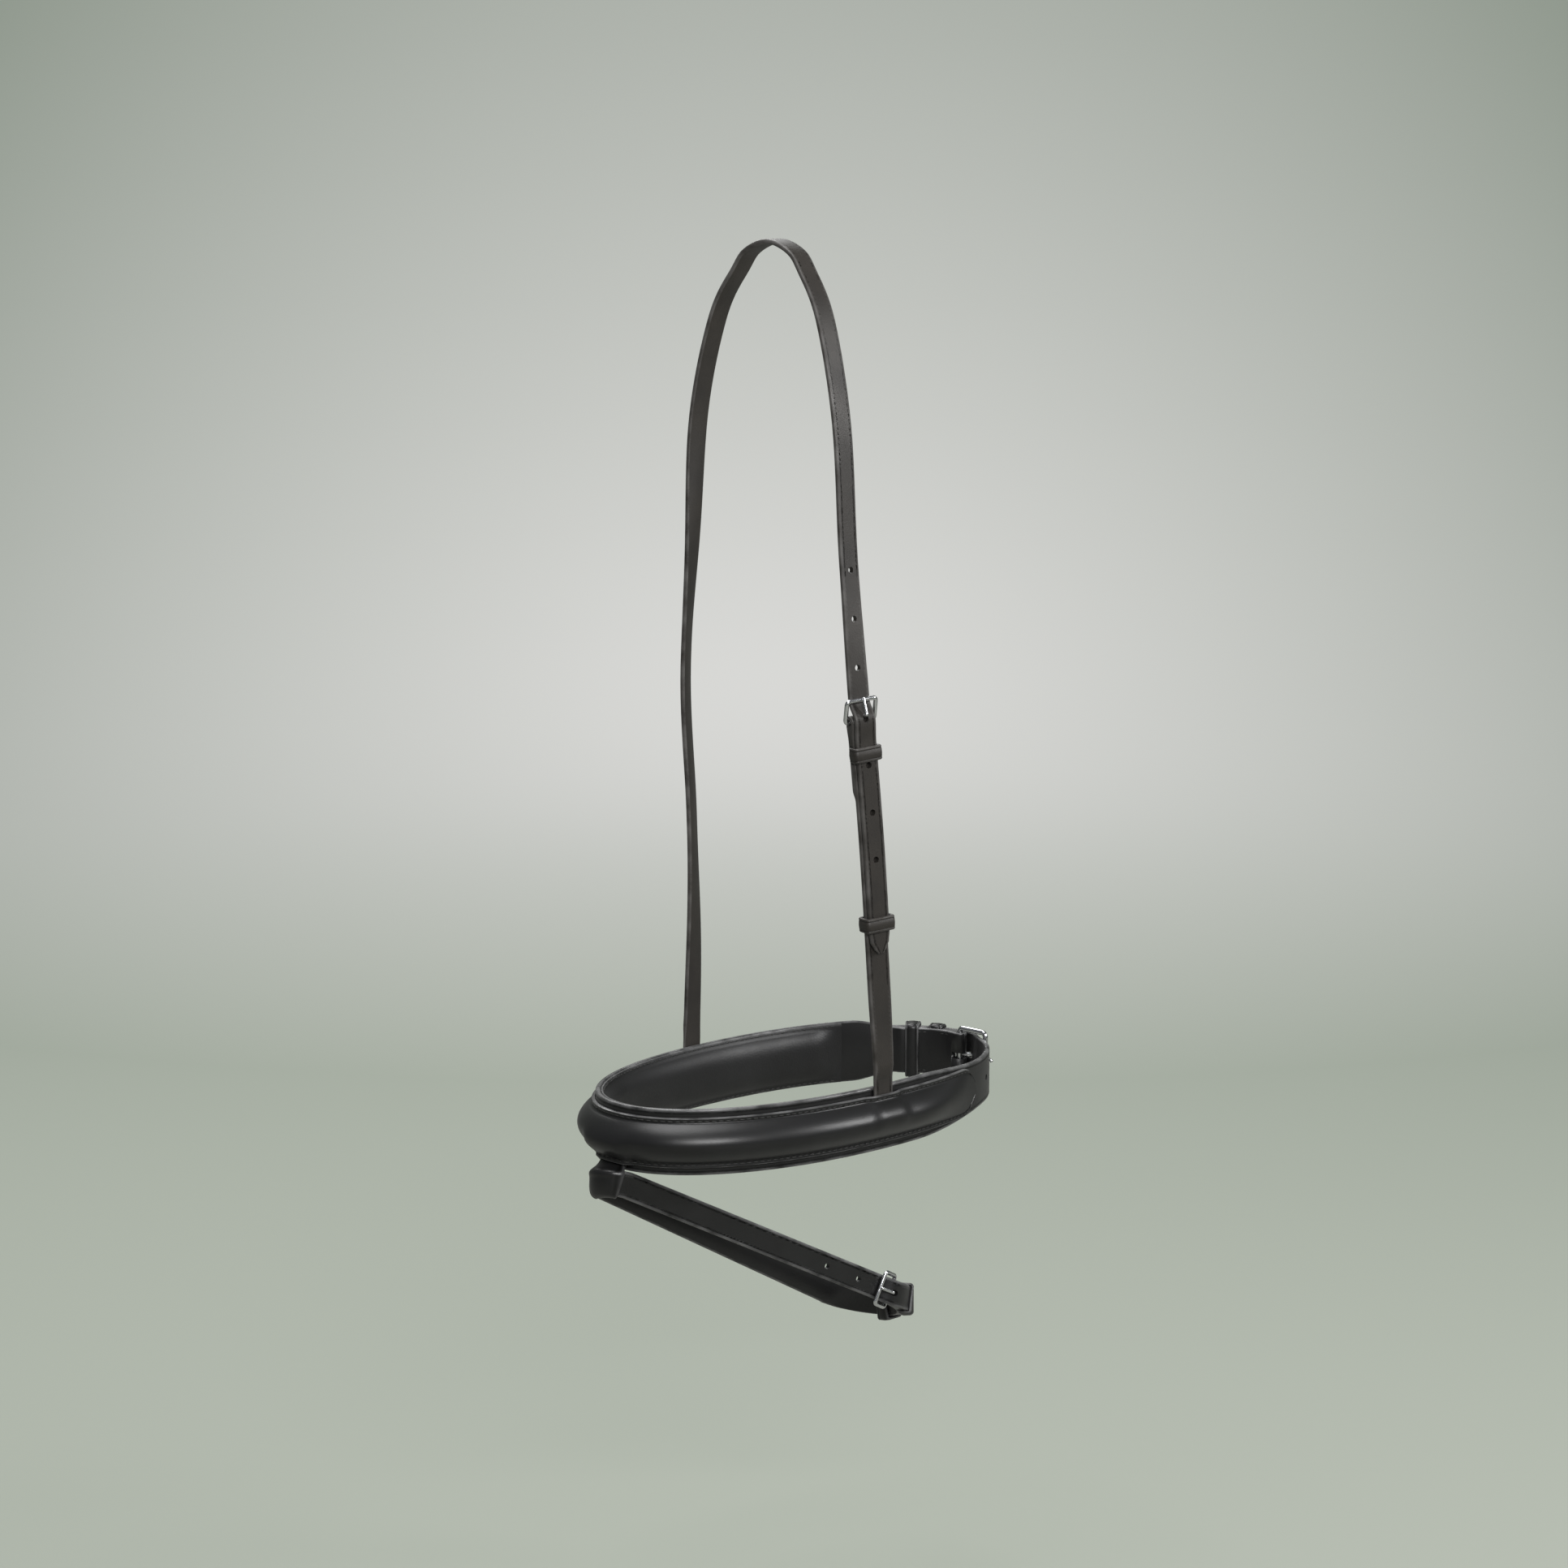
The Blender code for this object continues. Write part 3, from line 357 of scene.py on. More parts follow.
def oval_point(turn, length, width, power):
    """A point of a rounded oval, from its front (turn 0) round by its near side."""
    along = -cos(turn)
    aside = sin(turn)
    along = copysign(abs(along) ** (2.0 / power), along) * length / 2
    aside = copysign(abs(aside) ** (2.0 / power), aside) * width / 2
    return along, aside


def loop_side(length, front, rear):
    """The near side of a line round a small front circle and a large rear one, as (along, aside)."""
    turn = acos((rear - front) / (length - front - rear))
    side = []
    for radius, middle, turns in ((front, front, evenly(0.0, turn, 12)),
                                  (rear, length - rear, evenly(turn, pi, 16))):
        side += [(middle - radius * cos(part), radius * sin(part)) for part in turns]
    return side


def axes_matrix(first, second, third, origin):
    """Matrix of three axes and an origin."""
    matrix = Matrix((first, second, third)).transposed().to_4x4()
    matrix.translation = origin
    return matrix


class Route:
    """A line through space that straps lie along, with places beside it as (length, out, up)."""

    def __init__(self, points, across, closed=False, zero=0):
        self.points = points
        self.across = across
        self.closed = closed
        ends = points[1:] + points[:1] if closed else points[1:]
        self.marks = [0.0]
        for start, end in zip(points, ends):
            self.marks.append(self.marks[-1] + (end - start).length)
        self.total = self.marks[-1]
        self.zero = self.marks[zero]
        self.known = {}

    def heading(self, index):
        """Direction of the line at one of its points."""
        last = len(self.points) - 1
        if self.closed:
            before = self.points[(index - 1) % (last + 1)]
            after = self.points[(index + 1) % (last + 1)]
        else:
            before = self.points[max(index - 1, 0)]
            after = self.points[min(index + 1, last)]
        return (after - before).normalized()

    def axes(self, length):
        """Point of the line, and the directions along, out and across, at a length."""
        if length in self.known:
            return self.known[length]
        place = length + self.zero
        if self.closed:
            place = place % self.total
        index = 0
        while index < len(self.marks) - 2 and self.marks[index + 1] < place:
            index += 1
        part = (place - self.marks[index]) / (self.marks[index + 1] - self.marks[index])
        following = (index + 1) % len(self.points)
        point = self.points[index].lerp(self.points[following], part)
        along = self.heading(index).lerp(self.heading(following), min(max(part, 0.0), 1.0)).normalized()
        across = self.across(length)
        across = (across - along * across.dot(along)).normalized()
        self.known[length] = (point, along, along.cross(across), across)
        return self.known[length]

    def at(self, length, out=0.0, up=0.0):
        """A place beside the line."""
        point, _, outward, across = self.axes(length)
        return point + outward * out + across * up

    def row(self, length, outline):
        """Places beside the line, one for each (out, up) of an outline."""
        return [self.at(length, out, up) for out, up in outline]


class Fastening:
    """Places in a buckled joint, as lengths from the buckle's bar and out from the route."""

    def __init__(self, route, bar_place, width, strap_thickness, billet_thickness, wire, span, tongue):
        self.route = route
        self.bar_place = bar_place
        self.width = width
        self.strap_thickness = strap_thickness
        self.billet_thickness = billet_thickness
        self.wire = wire
        self.span = span
        self.tongue = tongue
        self.bore = wire / 2 + GAP
        self.eye = self.bore + PLY
        self.fold = FOLD_THICKNESS / 2
        self.bar_out = strap_thickness - self.fold
        self.end_out = billet_thickness + GAP + wire / 2

    def chape(self, along):
        """Inner and outer face of the folded end."""
        if along < 0:
            half = sqrt(max(self.eye ** 2 - along ** 2, 0.0))
            return self.bar_out - half, self.bar_out + half
        half = eased(((0.0, self.eye), (FOLD_EASE, self.fold)), along)
        skived = FOLD_LENGTH + SKIVE_LENGTH / 2
        inner = eased(((FOLD_LENGTH, -half), (skived, half - self.strap_thickness)), along)
        return self.bar_out + inner, self.bar_out + half

    def billet(self, along):
        """Inner and outer face of the strap with holes, which climbs over the fold."""
        rows = ((-LANDING_SHARE * self.span, 0.0),
                (-CREST_SHARE * self.span, self.bar_out + self.eye + GAP),
                (0.0, self.bar_out + self.eye + GAP),
                (FOLD_EASE, self.bar_out + self.fold + GAP))
        inner = eased(rows, along)
        return inner, inner + self.billet_thickness

    def frame_matrix(self):
        """Axes of the buckle: across the strap, towards the end bar, and out; and its reach."""
        bar = self.route.at(self.bar_place, self.bar_out)
        end = self.route.at(self.bar_place - self.span, self.end_out)
        across = self.route.axes(self.bar_place)[3]
        reach = end - bar
        ahead = (reach - across * reach.dot(across)).normalized()
        return axes_matrix(across, ahead, across.cross(ahead), bar), reach.length

    def lapped(self):
        """The same fastening, one lap further along a closed route."""
        fastening = copy.copy(self)
        fastening.bar_place = self.bar_place + self.route.total
        return fastening


def noseband_route():
    """The oval of the noseband, from the middle of the nose round by the near side."""
    points = []
    for index in range(120):
        along, aside = oval_point(tau * index / 120, RING_LENGTH, RING_WIDTH, RING_POWER)
        points.append(Vector((aside, RING_FORWARD + along, -CROWN_HEIGHT)))
    return Route(points, lambda length: UP, closed=True)


def flash_route():
    """The sloping loop of the flash strap, from its tab round by the near side."""
    down = Matrix.Rotation(-FLASH_SLOPE, 3, "X")
    roll = Matrix.Rotation(-FLASH_ROLL, 3, "Y")
    front = Vector((FLASH_ASIDE, -FLASH_FORWARD, -CROWN_HEIGHT - FLASH_DROP))
    near = loop_side(FLASH_LENGTH, FLASH_FRONT_RADIUS, FLASH_REAR_RADIUS)
    far = [(along, -aside) for along, aside in reversed(near[1:-1])]
    points = [front + down @ (roll @ Vector((aside, along, 0.0))) for along, aside in near + far]
    lean = Vector((0.0, sin(FLASH_LEAN), cos(FLASH_LEAN)))
    return Route(points, lambda length: lean, closed=True)


def head_limb(seat):
    """Points of one side of the head strap, from its seat on the noseband up to the crown."""
    limb = []
    for up in (BASE_HEIGHT / 2 - SKIVE_LENGTH, BASE_HEIGHT / 2):
        limb.append(Vector((seat.x, seat.y, up - CROWN_HEIGHT)))
    for height, span, sway, pull in HEAD_ROUTE_SHARES:
        place = HEAD_SWAY * sway * (1.0 - pull) + seat.y * pull
        limb.append(Vector((seat.x * span, place, (height - 1.0) * CROWN_HEIGHT)))
    return limb


def seat_twist(heading):
    """Turn of the strap, in degrees, that lays it flat on the noseband at its seat."""
    return degrees(atan2(heading.x, heading.y))


def head_route():
    """The arch of the head strap, from the far side over the crown to the near side."""
    far = head_limb(NOSEBAND.at(-FAR_SEAT, BASE_THICKNESS + GAP))
    near = head_limb(NOSEBAND.at(NEAR_SEAT, BASE_THICKNESS + GAP))
    steps = 8
    points = smooth_points(far + [Vector()] + list(reversed(near)), steps)
    half = sum((end - start).length for start, end in zip(points, points[1:])) / 2
    near_twists = NEAR_TWIST_SHARES + ((SEAT_SHARE, seat_twist(NOSEBAND.axes(NEAR_SEAT)[1])),)
    far_twists = FAR_TWIST_SHARES + ((SEAT_SHARE, seat_twist(-NOSEBAND.axes(-FAR_SEAT)[1])),)

    def across(length):
        twist = radians(eased(near_twists if length > 0 else far_twists, abs(length) / half))
        return Vector((sin(twist), cos(twist), 0.0))

    return Route(points, across, zero=steps * len(far))


NOSEBAND = noseband_route()
FLASH = flash_route()
HEAD = head_route()
HEAD_NEAR_END = HEAD.total - HEAD.zero - SKIVE_LENGTH + STRAP_END_DEPTH
HEAD_FAR_END = -HEAD.zero + SKIVE_LENGTH - STRAP_END_DEPTH
JAW_JOINT = Fastening(NOSEBAND, -NOSEBAND.total / 2 + JAW_BAR_SHIFT, JAW_HEIGHT, BASE_THICKNESS,
                      BASE_THICKNESS, JAW_WIRE, JAW_BUCKLE_SPAN, JAW_TONGUE)
HEAD_JOINT = Fastening(HEAD, HEAD_NEAR_END - CHEEK_LENGTH, CHEEK_WIDTH, CHEEK_THICKNESS, HEAD_THICKNESS,
                       WIRE, BUCKLE_SPAN, TONGUE)
FLASH_JOINT = Fastening(FLASH, FLASH_BUCKLE_PLACE, FLASH_STRAP_HEIGHT, FLASH_THICKNESS, FLASH_THICKNESS,
                        WIRE, BUCKLE_SPAN, TONGUE)


# Mesh tools

def drop_selection():
    """Leave nothing selected, in object mode."""
    if bpy.context.object and bpy.context.object.mode != "OBJECT":
        bpy.ops.object.mode_set(mode="OBJECT")
    bpy.ops.object.select_all(action="DESELECT")


def pick(thing):
    """Select one object and make it active."""
    drop_selection()
    thing.select_set(True)
    bpy.context.view_layer.objects.active = thing


def settle(thing, place):
    """Put an object's place into its mesh, so that the object sits at the origin."""
    thing.data.transform(place)
    thing.matrix_world = Matrix.Identity(4)


def face_outward():
    """Turn the faces of the mesh being edited outward, and leave edit mode."""
    bpy.ops.mesh.select_all(action="SELECT")
    bpy.ops.mesh.normals_make_consistent(inside=False)
    bpy.ops.object.mode_set(mode="OBJECT")


def skin(name, rows, marks=None, looped=False, smooth=40.0):
    """Lay a grid over rows of points. Each row closes on itself; the last row meets the first if looped."""
    count = len(rows[0])
    if looped:
        rows = rows + rows[:1]
    drop_selection()
    bpy.ops.mesh.primitive_grid_add(x_subdivisions=count, y_subdivisions=len(rows) - 1, size=1.0)
    thing = bpy.context.object
    thing.name = name
    mesh = thing.data
    mesh.name = name
    columns = [round((vertex.co.x + 0.5) * count) for vertex in mesh.vertices]
    lines = [round((vertex.co.y + 0.5) * (len(rows) - 1)) for vertex in mesh.vertices]
    for vertex, column, line in zip(mesh.vertices, columns, lines):
        vertex.co = rows[line][column % count]
    along = [0.0]
    for before, here in zip(rows, rows[1:]):
        along.append(along[-1] + (here[0] - before[0]).length)
    around = [0.0]
    for index in range(count):
        around.append(around[-1] + (rows[0][(index + 1) % count] - rows[0][index]).length)
    for loop, uv in zip(mesh.loops, mesh.uv_layers.active.data):
        uv.uv = (along[lines[loop.vertex_index]], around[columns[loop.vertex_index]])
    for label in ("edge", "crease"):
        layer = mesh.attributes.new(label, "FLOAT", "POINT")
        values = marks[label] if marks else [0.0] * count
        layer.data.foreach_set("value", [values[column % count] for column in columns])
    bpy.ops.object.mode_set(mode="EDIT")
    bpy.ops.mesh.select_all(action="SELECT")
    bpy.ops.mesh.remove_doubles(threshold=0.000001)
    if not looped:
        bpy.ops.mesh.fill_holes(sides=0)
    face_outward()
    bpy.ops.object.shade_smooth_by_angle(angle=radians(smooth))
    return thing


def carve(target, cutter):
    """Cut a shape out of a piece, and remove the shape."""
    pick(target)
    modifier = target.modifiers.new("carve", "BOOLEAN")
    modifier.operation = "DIFFERENCE"
    modifier.solver = "EXACT"
    modifier.object = cutter
    bpy.ops.object.modifier_apply(modifier=modifier.name)
    bpy.data.objects.remove(cutter, do_unlink=True)


def punch(route, place, low, high, radius, stretch=0.0):
    """A round or stretched punch, square to a strap."""
    drop_selection()
    bpy.ops.mesh.primitive_cylinder_add(vertices=HOLE_SIDES, radius=radius, depth=high - low)
    tool = bpy.context.object
    for vertex in tool.data.vertices:
        vertex.co.x += copysign(stretch, vertex.co.x)
    point, along, outward, across = route.axes(place)
    settle(tool, axes_matrix(along, across, along.cross(across), point + outward * (low + high) / 2))
    return tool


def round_bar(matrix, radius, half):
    """A cylinder along the first axis of a matrix."""
    drop_selection()
    bpy.ops.mesh.primitive_cylinder_add(vertices=BORE_SIDES, radius=radius, depth=2 * half)
    tool = bpy.context.object
    settle(tool, matrix @ Matrix.Rotation(pi / 2, 4, "Y"))
    return tool


def block(route, places, low, high, half):
    """A box that follows a route."""
    corners = ((low, -half), (low, half), (high, half), (high, -half))
    return skin("block", [route.row(place, corners) for place in places])


def join(things):
    """Make one object of several."""
    pick(things[0])
    for thing in things[1:]:
        thing.select_set(True)
    bpy.ops.object.join()
    return things[0]


def strap_profile(inner, outer, half, sizes):
    """Outline of a strap's section as (out, up), with rounded edges and a creased line along each side."""
    bend = min(sizes.edge_round, (outer - inner) * CORNER_SHARE, half * 0.5)
    inset = min(sizes.crease_inset, half * 0.55)
    width = inset * 0.26

    points = []
    for side in (-1, 1):
        for up, drop in ((inset - width, 0.0), (inset, sizes.crease_depth), (inset + width, 0.0))[::side]:
            points.append((outer - drop, side * (half - up)))
        if side < 0:
            points.append((outer, 0.0))
    corners = ((outer - bend, 1), (inner + bend, 1), (inner + bend, -1), (outer - bend, -1))
    for quarter, (face, side) in enumerate(corners):
        if quarter == 2:
            points.append((inner, 0.0))
        for step in range(4):
            turn = radians(90.0 * quarter + CORNER_TURN * step)
            points.append((face + bend * cos(turn), side * (half - bend) + bend * sin(turn)))
    return points


def strap(name, route, places, section, sizes):
    """A strap with rows at the places. Its section gives inner face, outer face and half width there."""
    rows = [route.row(place, strap_profile(*section(place), sizes)) for place in places]
    return skin(name, rows, STRAP_MARKS)


def merge_places(places, closest=0.0004):
    """Sorted lengths with near doubles left out."""
    kept = []
    for place in sorted(places):
        if not kept or place - kept[-1] > closest:
            kept.append(place)
    return kept


def fold_places(joint):
    """Lengths of close rows round the eye of a fold, over its climb and where its short ply is skived."""
    round_eye = [joint.bar_place - joint.eye * cos(radians(angle)) for angle in range(6, 91, 7)]
    climb = even_lengths(joint.bar_place, joint.bar_place + FOLD_EASE, EYE_STEP)
    skive = joint.bar_place + FOLD_LENGTH
    return round_eye + climb + even_lengths(skive, skive + SKIVE_LENGTH / 2, SKIVE_STEP)


def climb_places(joint):
    """Lengths of close rows where a strap climbs over the fold."""
    landing = joint.bar_place - LANDING_SHARE * joint.span
    return even_lengths(landing, joint.bar_place + FOLD_EASE, CLIMB_STEP)


def tip_half(half, left):
    """Half width of a strap's rounded tip."""
    if left >= TIP_LENGTH:
        return half
    return half * eased(TIP_SHARES, 1.0 - left / TIP_LENGTH)


def end_in_tip(places, end):
    """Sorted lengths, with close rows at the strap's tip."""
    kept = [place for place in merge_places(places) if place < end - TIP_LENGTH]
    return kept + even_lengths(end - TIP_LENGTH, end, TIP_STEP)


def punch_strap(target, joint, places):
    """Punch the tongue's stretched hole and the round holes."""
    near = -HOLE_NEAR_SHARE * joint.span
    far = -HOLE_FAR_SHARE * joint.span
    middle = (near + far) / 2
    radius = joint.tongue / 2 + 2 * GAP
    tools = [punch(joint.route, joint.bar_place + middle + 2 * GAP, joint.billet(far)[0] - 2 * GAP,
                   joint.billet(near)[1] + OVERRUN, radius, (near - far) / 2 - radius + 3 * GAP)]
    for index in places:
        low, high = joint.billet(middle + index * HOLE_PITCH)
        place = joint.bar_place + middle + index * HOLE_PITCH
        tools.append(punch(joint.route, place, low - 3 * GAP / 4, high + OVERRUN, HOLE_DIAMETER / 2))
    carve(target, join(tools))


def cut_fold(target, joint):
    """Bore the fold for the buckle's bar, slot it for the tongue and slit it for the keeper."""
    matrix = joint.frame_matrix()[0]
    half = joint.width / 2 + OVERRUN
    carve(target, round_bar(matrix, joint.bore, half))
    slot_half = joint.tongue / 2 + 2 * GAP
    ends = (joint.bar_place - joint.eye - OVERRUN, joint.bar_place + joint.eye * SLOT_SHARE)
    carve(target, block(joint.route, ends, joint.bar_out - joint.eye - OVERRUN,
                        joint.bar_out + joint.eye + GAP / 2, slot_half))
    margin = KEEPER_WIDTH / 2 + GAP
    middle = joint.bar_place + KEEPER_PLACE
    carve(target, block(joint.route, (middle - margin, middle, middle + margin),
                        joint.bar_out - KEEPER_WALL / 2 - GAP, joint.bar_out + KEEPER_WALL / 2 + GAP, half))


def dress(thing, paint, body, *nodes):
    """Give a piece its finish and body and, where it stands for nodes of the frame, hide those nodes."""
    thing.data.materials.clear()
    thing.data.materials.append(bpy.data.materials["fine_" + paint])
    if body:
        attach(thing, body)
    if nodes:
        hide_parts(*nodes)
    return thing


# Noseband shapes

def base_half(length):
    """Half height of the base strap: tall at the nose, lower at the jaw."""
    start = JAW_TAPER_START if length > 0 else FAR_TAPER_START
    end = JAW_TAPER_END if length > 0 else FAR_TAPER_END
    return eased(((start, BASE_HEIGHT / 2), (end, JAW_HEIGHT / 2)), min(abs(length), NOSEBAND.total / 2))


def belt(name, joint, billet_length, half_at, sizes, bends=()):
    """A strap from its buckle fold, once round its route and through the buckle again."""
    lap = joint.route.total
    end = joint.bar_place + lap + billet_length
    folds = fold_places(joint)
    places = even_lengths(folds[0], end, sizes.step) + folds + climb_places(joint.lapped()) + list(bends)

    def section(place):
        along = place - joint.bar_place
        faces = joint.chape(along) if along < lap / 2 else joint.billet(along - lap)
        return *faces, tip_half(half_at(place), end - place)

    return strap(name, joint.route, end_in_tip(places, end), section, sizes)


def cover_half(length):
    """Half height of the cover, rounded off at its two ends."""
    past = abs(length) - (COVER_REACH - COVER_END_ROUND)
    if past <= 0:
        return COVER_HEIGHT / 2
    return COVER_HEIGHT / 2 * sqrt(max(1.0 - (past / COVER_END_ROUND) ** 2, COVER_END_BLUNT))


def cover_rise(length):
    """How far the cover stands up over its core, fading out towards its ends."""
    return COVER_RISE * eased(((COVER_REACH - COVER_END_FADE, 1.0), (COVER_REACH, 0.0)), abs(length))


def cover_lifts(length):
    """How far the cover's lower and upper edges ride over the tab root and the strap ends."""
    cheek = STRAP_END_THICKNESS + GAP
    tab = 2 * TAB_PLY + GAP
    beside = CHEEK_WIDTH / 2 + CHEEK_CLEAR
    seat = NEAR_SEAT if length > 0 else -FAR_SEAT
    upper = eased(((beside, cheek), (beside + SKIVE_LENGTH / 2, 0.0)), abs(length - seat))
    beside = TAB_WIDTH / 2 + TAB_CLEAR
    lower = eased(((beside, tab), (beside + SKIVE_LENGTH / 2, 0.0)), abs(length - FLASH_ASIDE))
    return lower, upper


def cover_face(length, share, rise_share):
    """The cover's outer face at a share of its half height."""
    lower, upper = cover_lifts(length)
    lift = eased(((CORE_SHARES[0][0], lower), (CORE_SHARES[-1][0], upper)), share)
    return BASE_THICKNESS + GAP + lift + COVER_THICKNESS + cover_rise(length) * rise_share


def dome_share(share):
    """Rise of the dome at a share of the cover's half height."""
    place = abs(share) / DOME_SHARE
    return cos(place * pi / 2) ** DOME_POWER if place < 1.0 else 0.0


def seam_dip(share):
    """How far the cover's seam is pulled in at a share of its half height."""
    return SEAM_DIP * exp(-((abs(share) - SEAM_DIP_SHARE) / SEAM_DIP_WIDTH) ** 2)


def draw_ends(outline, bend):
    """Move the two ends of one face of a section out, which rounds the edges beside them."""
    for end in (0, -1):
        out, up = outline[end]
        outline[end] = (out + bend, up)


def pad_fade(length):
    """Thickness of the padding along the lining, fading out at its two ends."""
    far = eased(((-LINING_FAR_REACH, 0.0), (PAD_END_FADE - LINING_FAR_REACH, 1.0)), length)
    near = eased(((LINING_NEAR_REACH - PAD_END_FADE, 1.0), (LINING_NEAR_REACH, 0.0)), length)
    return PAD_THICKNESS * far * near


def pad_swell(length, share):
    """Depth of the lining's padding, a little uneven, as foam under soft leather is."""
    swell = max(1.0 - (abs(share) / PAD_SHARE) ** PAD_POWER, 0.0)
    broad = sin(length * RIPPLE_BROAD + share * RIPPLE_ACROSS)
    ripple = 1.0 + RIPPLE_DEPTH * sin(length * RIPPLE_FINE) * broad
    return pad_fade(length) * swell * ripple


# Operators

class NOSEBAND_OT_finishes(bpy.types.Operator):
    """Mix the leather, thread, steel, felt and foam"""

    bl_idname = "noseband.finishes"
    bl_label = "Finishes"

    def execute(self, context):
        colours = context.scene.noseband_colours
        make_grain_group()
        make_edge_light_group()
        make_leather("black_leather", colours.black, 0.36, 1500.0, 0.07, 0.90)
        make_leather("charcoal_leather", colours.charcoal, 0.50, 1300.0, 0.12, 0.50)
        make_leather("soft_lining_leather", colours.lining, 0.44, 900.0, 0.14, 0.60)
        make_thread("waxed_thread", colours.thread)
        make_steel("stainless_steel", colours.steel)
        make_fibre("core_felt", (0.10, 0.10, 0.10), 700.0)
        make_fibre("lining_foam", (0.16, 0.16, 0.15), 420.0)
        return {"FINISHED"}


def set_values(node, values):
    """Set inputs of a node."""
    for label, value in values.items():
        node.inputs[label].default_value = value


def add_node(nodes, kind, values=None, **settings):
    """A shader node with its settings and the values of its inputs."""
    node = nodes.new("ShaderNode" + kind)
    for label, value in settings.items():
        setattr(node, label, value)
    set_values(node, values or {})
    return node


def connect(links, *rows):
    """Link nodes, from rows of (node, output, node, input)."""
    for source, output, target, entry in rows:
        links.new(source.outputs[output], target.inputs[entry])


def tinted(colour, share, lift=0.0):
    """A colour made darker or lighter."""
    return (*[min(value * share + lift, 1.0) for value in colour], 1.0)


def tone_ramp(nodes, tones, places=(0.0, 1.0)):
    """A ramp between two tones."""
    ramp = add_node(nodes, "ValToRGB")
    for element, tone, place in zip(ramp.color_ramp.elements, tones, places):
        element.position = place
        element.color = tone
    return ramp


def new_tree(name):
    """An empty material's nodes, links and shader. The frame's own materials have plainer names."""
    paint = bpy.data.materials.new("fine_" + name)
    paint.use_nodes = True
    nodes = paint.node_tree.nodes
    return nodes, paint.node_tree.links, nodes["Principled BSDF"]


def new_group(name, setting, value, outputs):
    """An empty node group's nodes, links, input and output. It takes a vector and one setting."""
    group = bpy.data.node_groups.new(name, "ShaderNodeTree")
    sockets = group.interface
    sockets.new_socket("Vector", in_out="INPUT", socket_type="NodeSocketVector")
    sockets.new_socket(setting, in_out="INPUT", socket_type="NodeSocketFloat").default_value = value
    for label in outputs:
        sockets.new_socket(label, in_out="OUTPUT", socket_type="NodeSocketFloat")
    nodes = group.nodes
    return nodes, group.links, nodes.new("NodeGroupInput"), nodes.new("NodeGroupOutput")


def make_grain_group():
    """Leather grain: pebbles, pores and slow changes of tone, from object coordinates."""
    nodes, links, entry, leave = new_group("Leather Grain", "Scale", 1200.0, ("Height", "Tone"))
    warp = add_node(nodes, "TexNoise", {"Scale": 300.0, "Detail": 2.0})
    shift = add_node(nodes, "VectorMath", {1: (0.0006, 0.0006, 0.0006)}, operation="MULTIPLY_ADD")
    pebbles = add_node(nodes, "TexVoronoi", {"Smoothness": 0.55}, feature="SMOOTH_F1")
    pores = add_node(nodes, "TexNoise", {"Scale": 2600.0, "Detail": 3.0})
    blend = add_node(nodes, "Math", {1: 0.35}, operation="MULTIPLY_ADD")
    slow = add_node(nodes, "TexNoise", {"Scale": 38.0, "Detail": 4.0, "Roughness": 0.6})
    connect(links, (entry, "Vector", warp, "Vector"), (warp, "Color", shift, 0),
            (entry, "Vector", shift, 2), (shift, "Vector", pebbles, "Vector"),
            (entry, "Scale", pebbles, "Scale"),
            (entry, "Vector", pores, "Vector"), (entry, "Vector", slow, "Vector"),
            (pores, "Fac", blend, 0), (pebbles, "Distance", blend, 2),
            (blend, "Value", leave, "Height"), (slow, "Fac", leave, "Tone"))


def make_edge_light_group():
    """Painted highlight and real polish on the edges, and painted shade in the creased lines, from the
    marks that a strap's mesh carries.
    """
    nodes, links, entry, leave = new_group("Edge Highlight And Crease Shade", "Amount", 0.5, ("PolishAndHighlight", "CreaseShade"))
    edge = add_node(nodes, "Attribute", attribute_name="edge")
    crease = add_node(nodes, "Attribute", attribute_name="crease")
    patchy = add_node(nodes, "TexNoise", {"Scale": 90.0, "Detail": 5.0})
    ramp = add_node(nodes, "MapRange", {"From Min": 0.30, "From Max": 0.66})
    # Patchy edge marks give the painted edge highlight and the polish
    edge_highlight = add_node(nodes, "Math", operation="MULTIPLY")
    amount = add_node(nodes, "Math", operation="MULTIPLY")
    connect(links, (entry, "Vector", patchy, "Vector"), (patchy, "Fac", ramp, "Value"),
            (edge, "Fac", edge_highlight, 0), (ramp, "Result", edge_highlight, 1), (edge_highlight, "Value", amount, 0),
            (entry, "Amount", amount, 1), (amount, "Value", leave, "PolishAndHighlight"),
            (crease, "Fac", leave, "CreaseShade"))


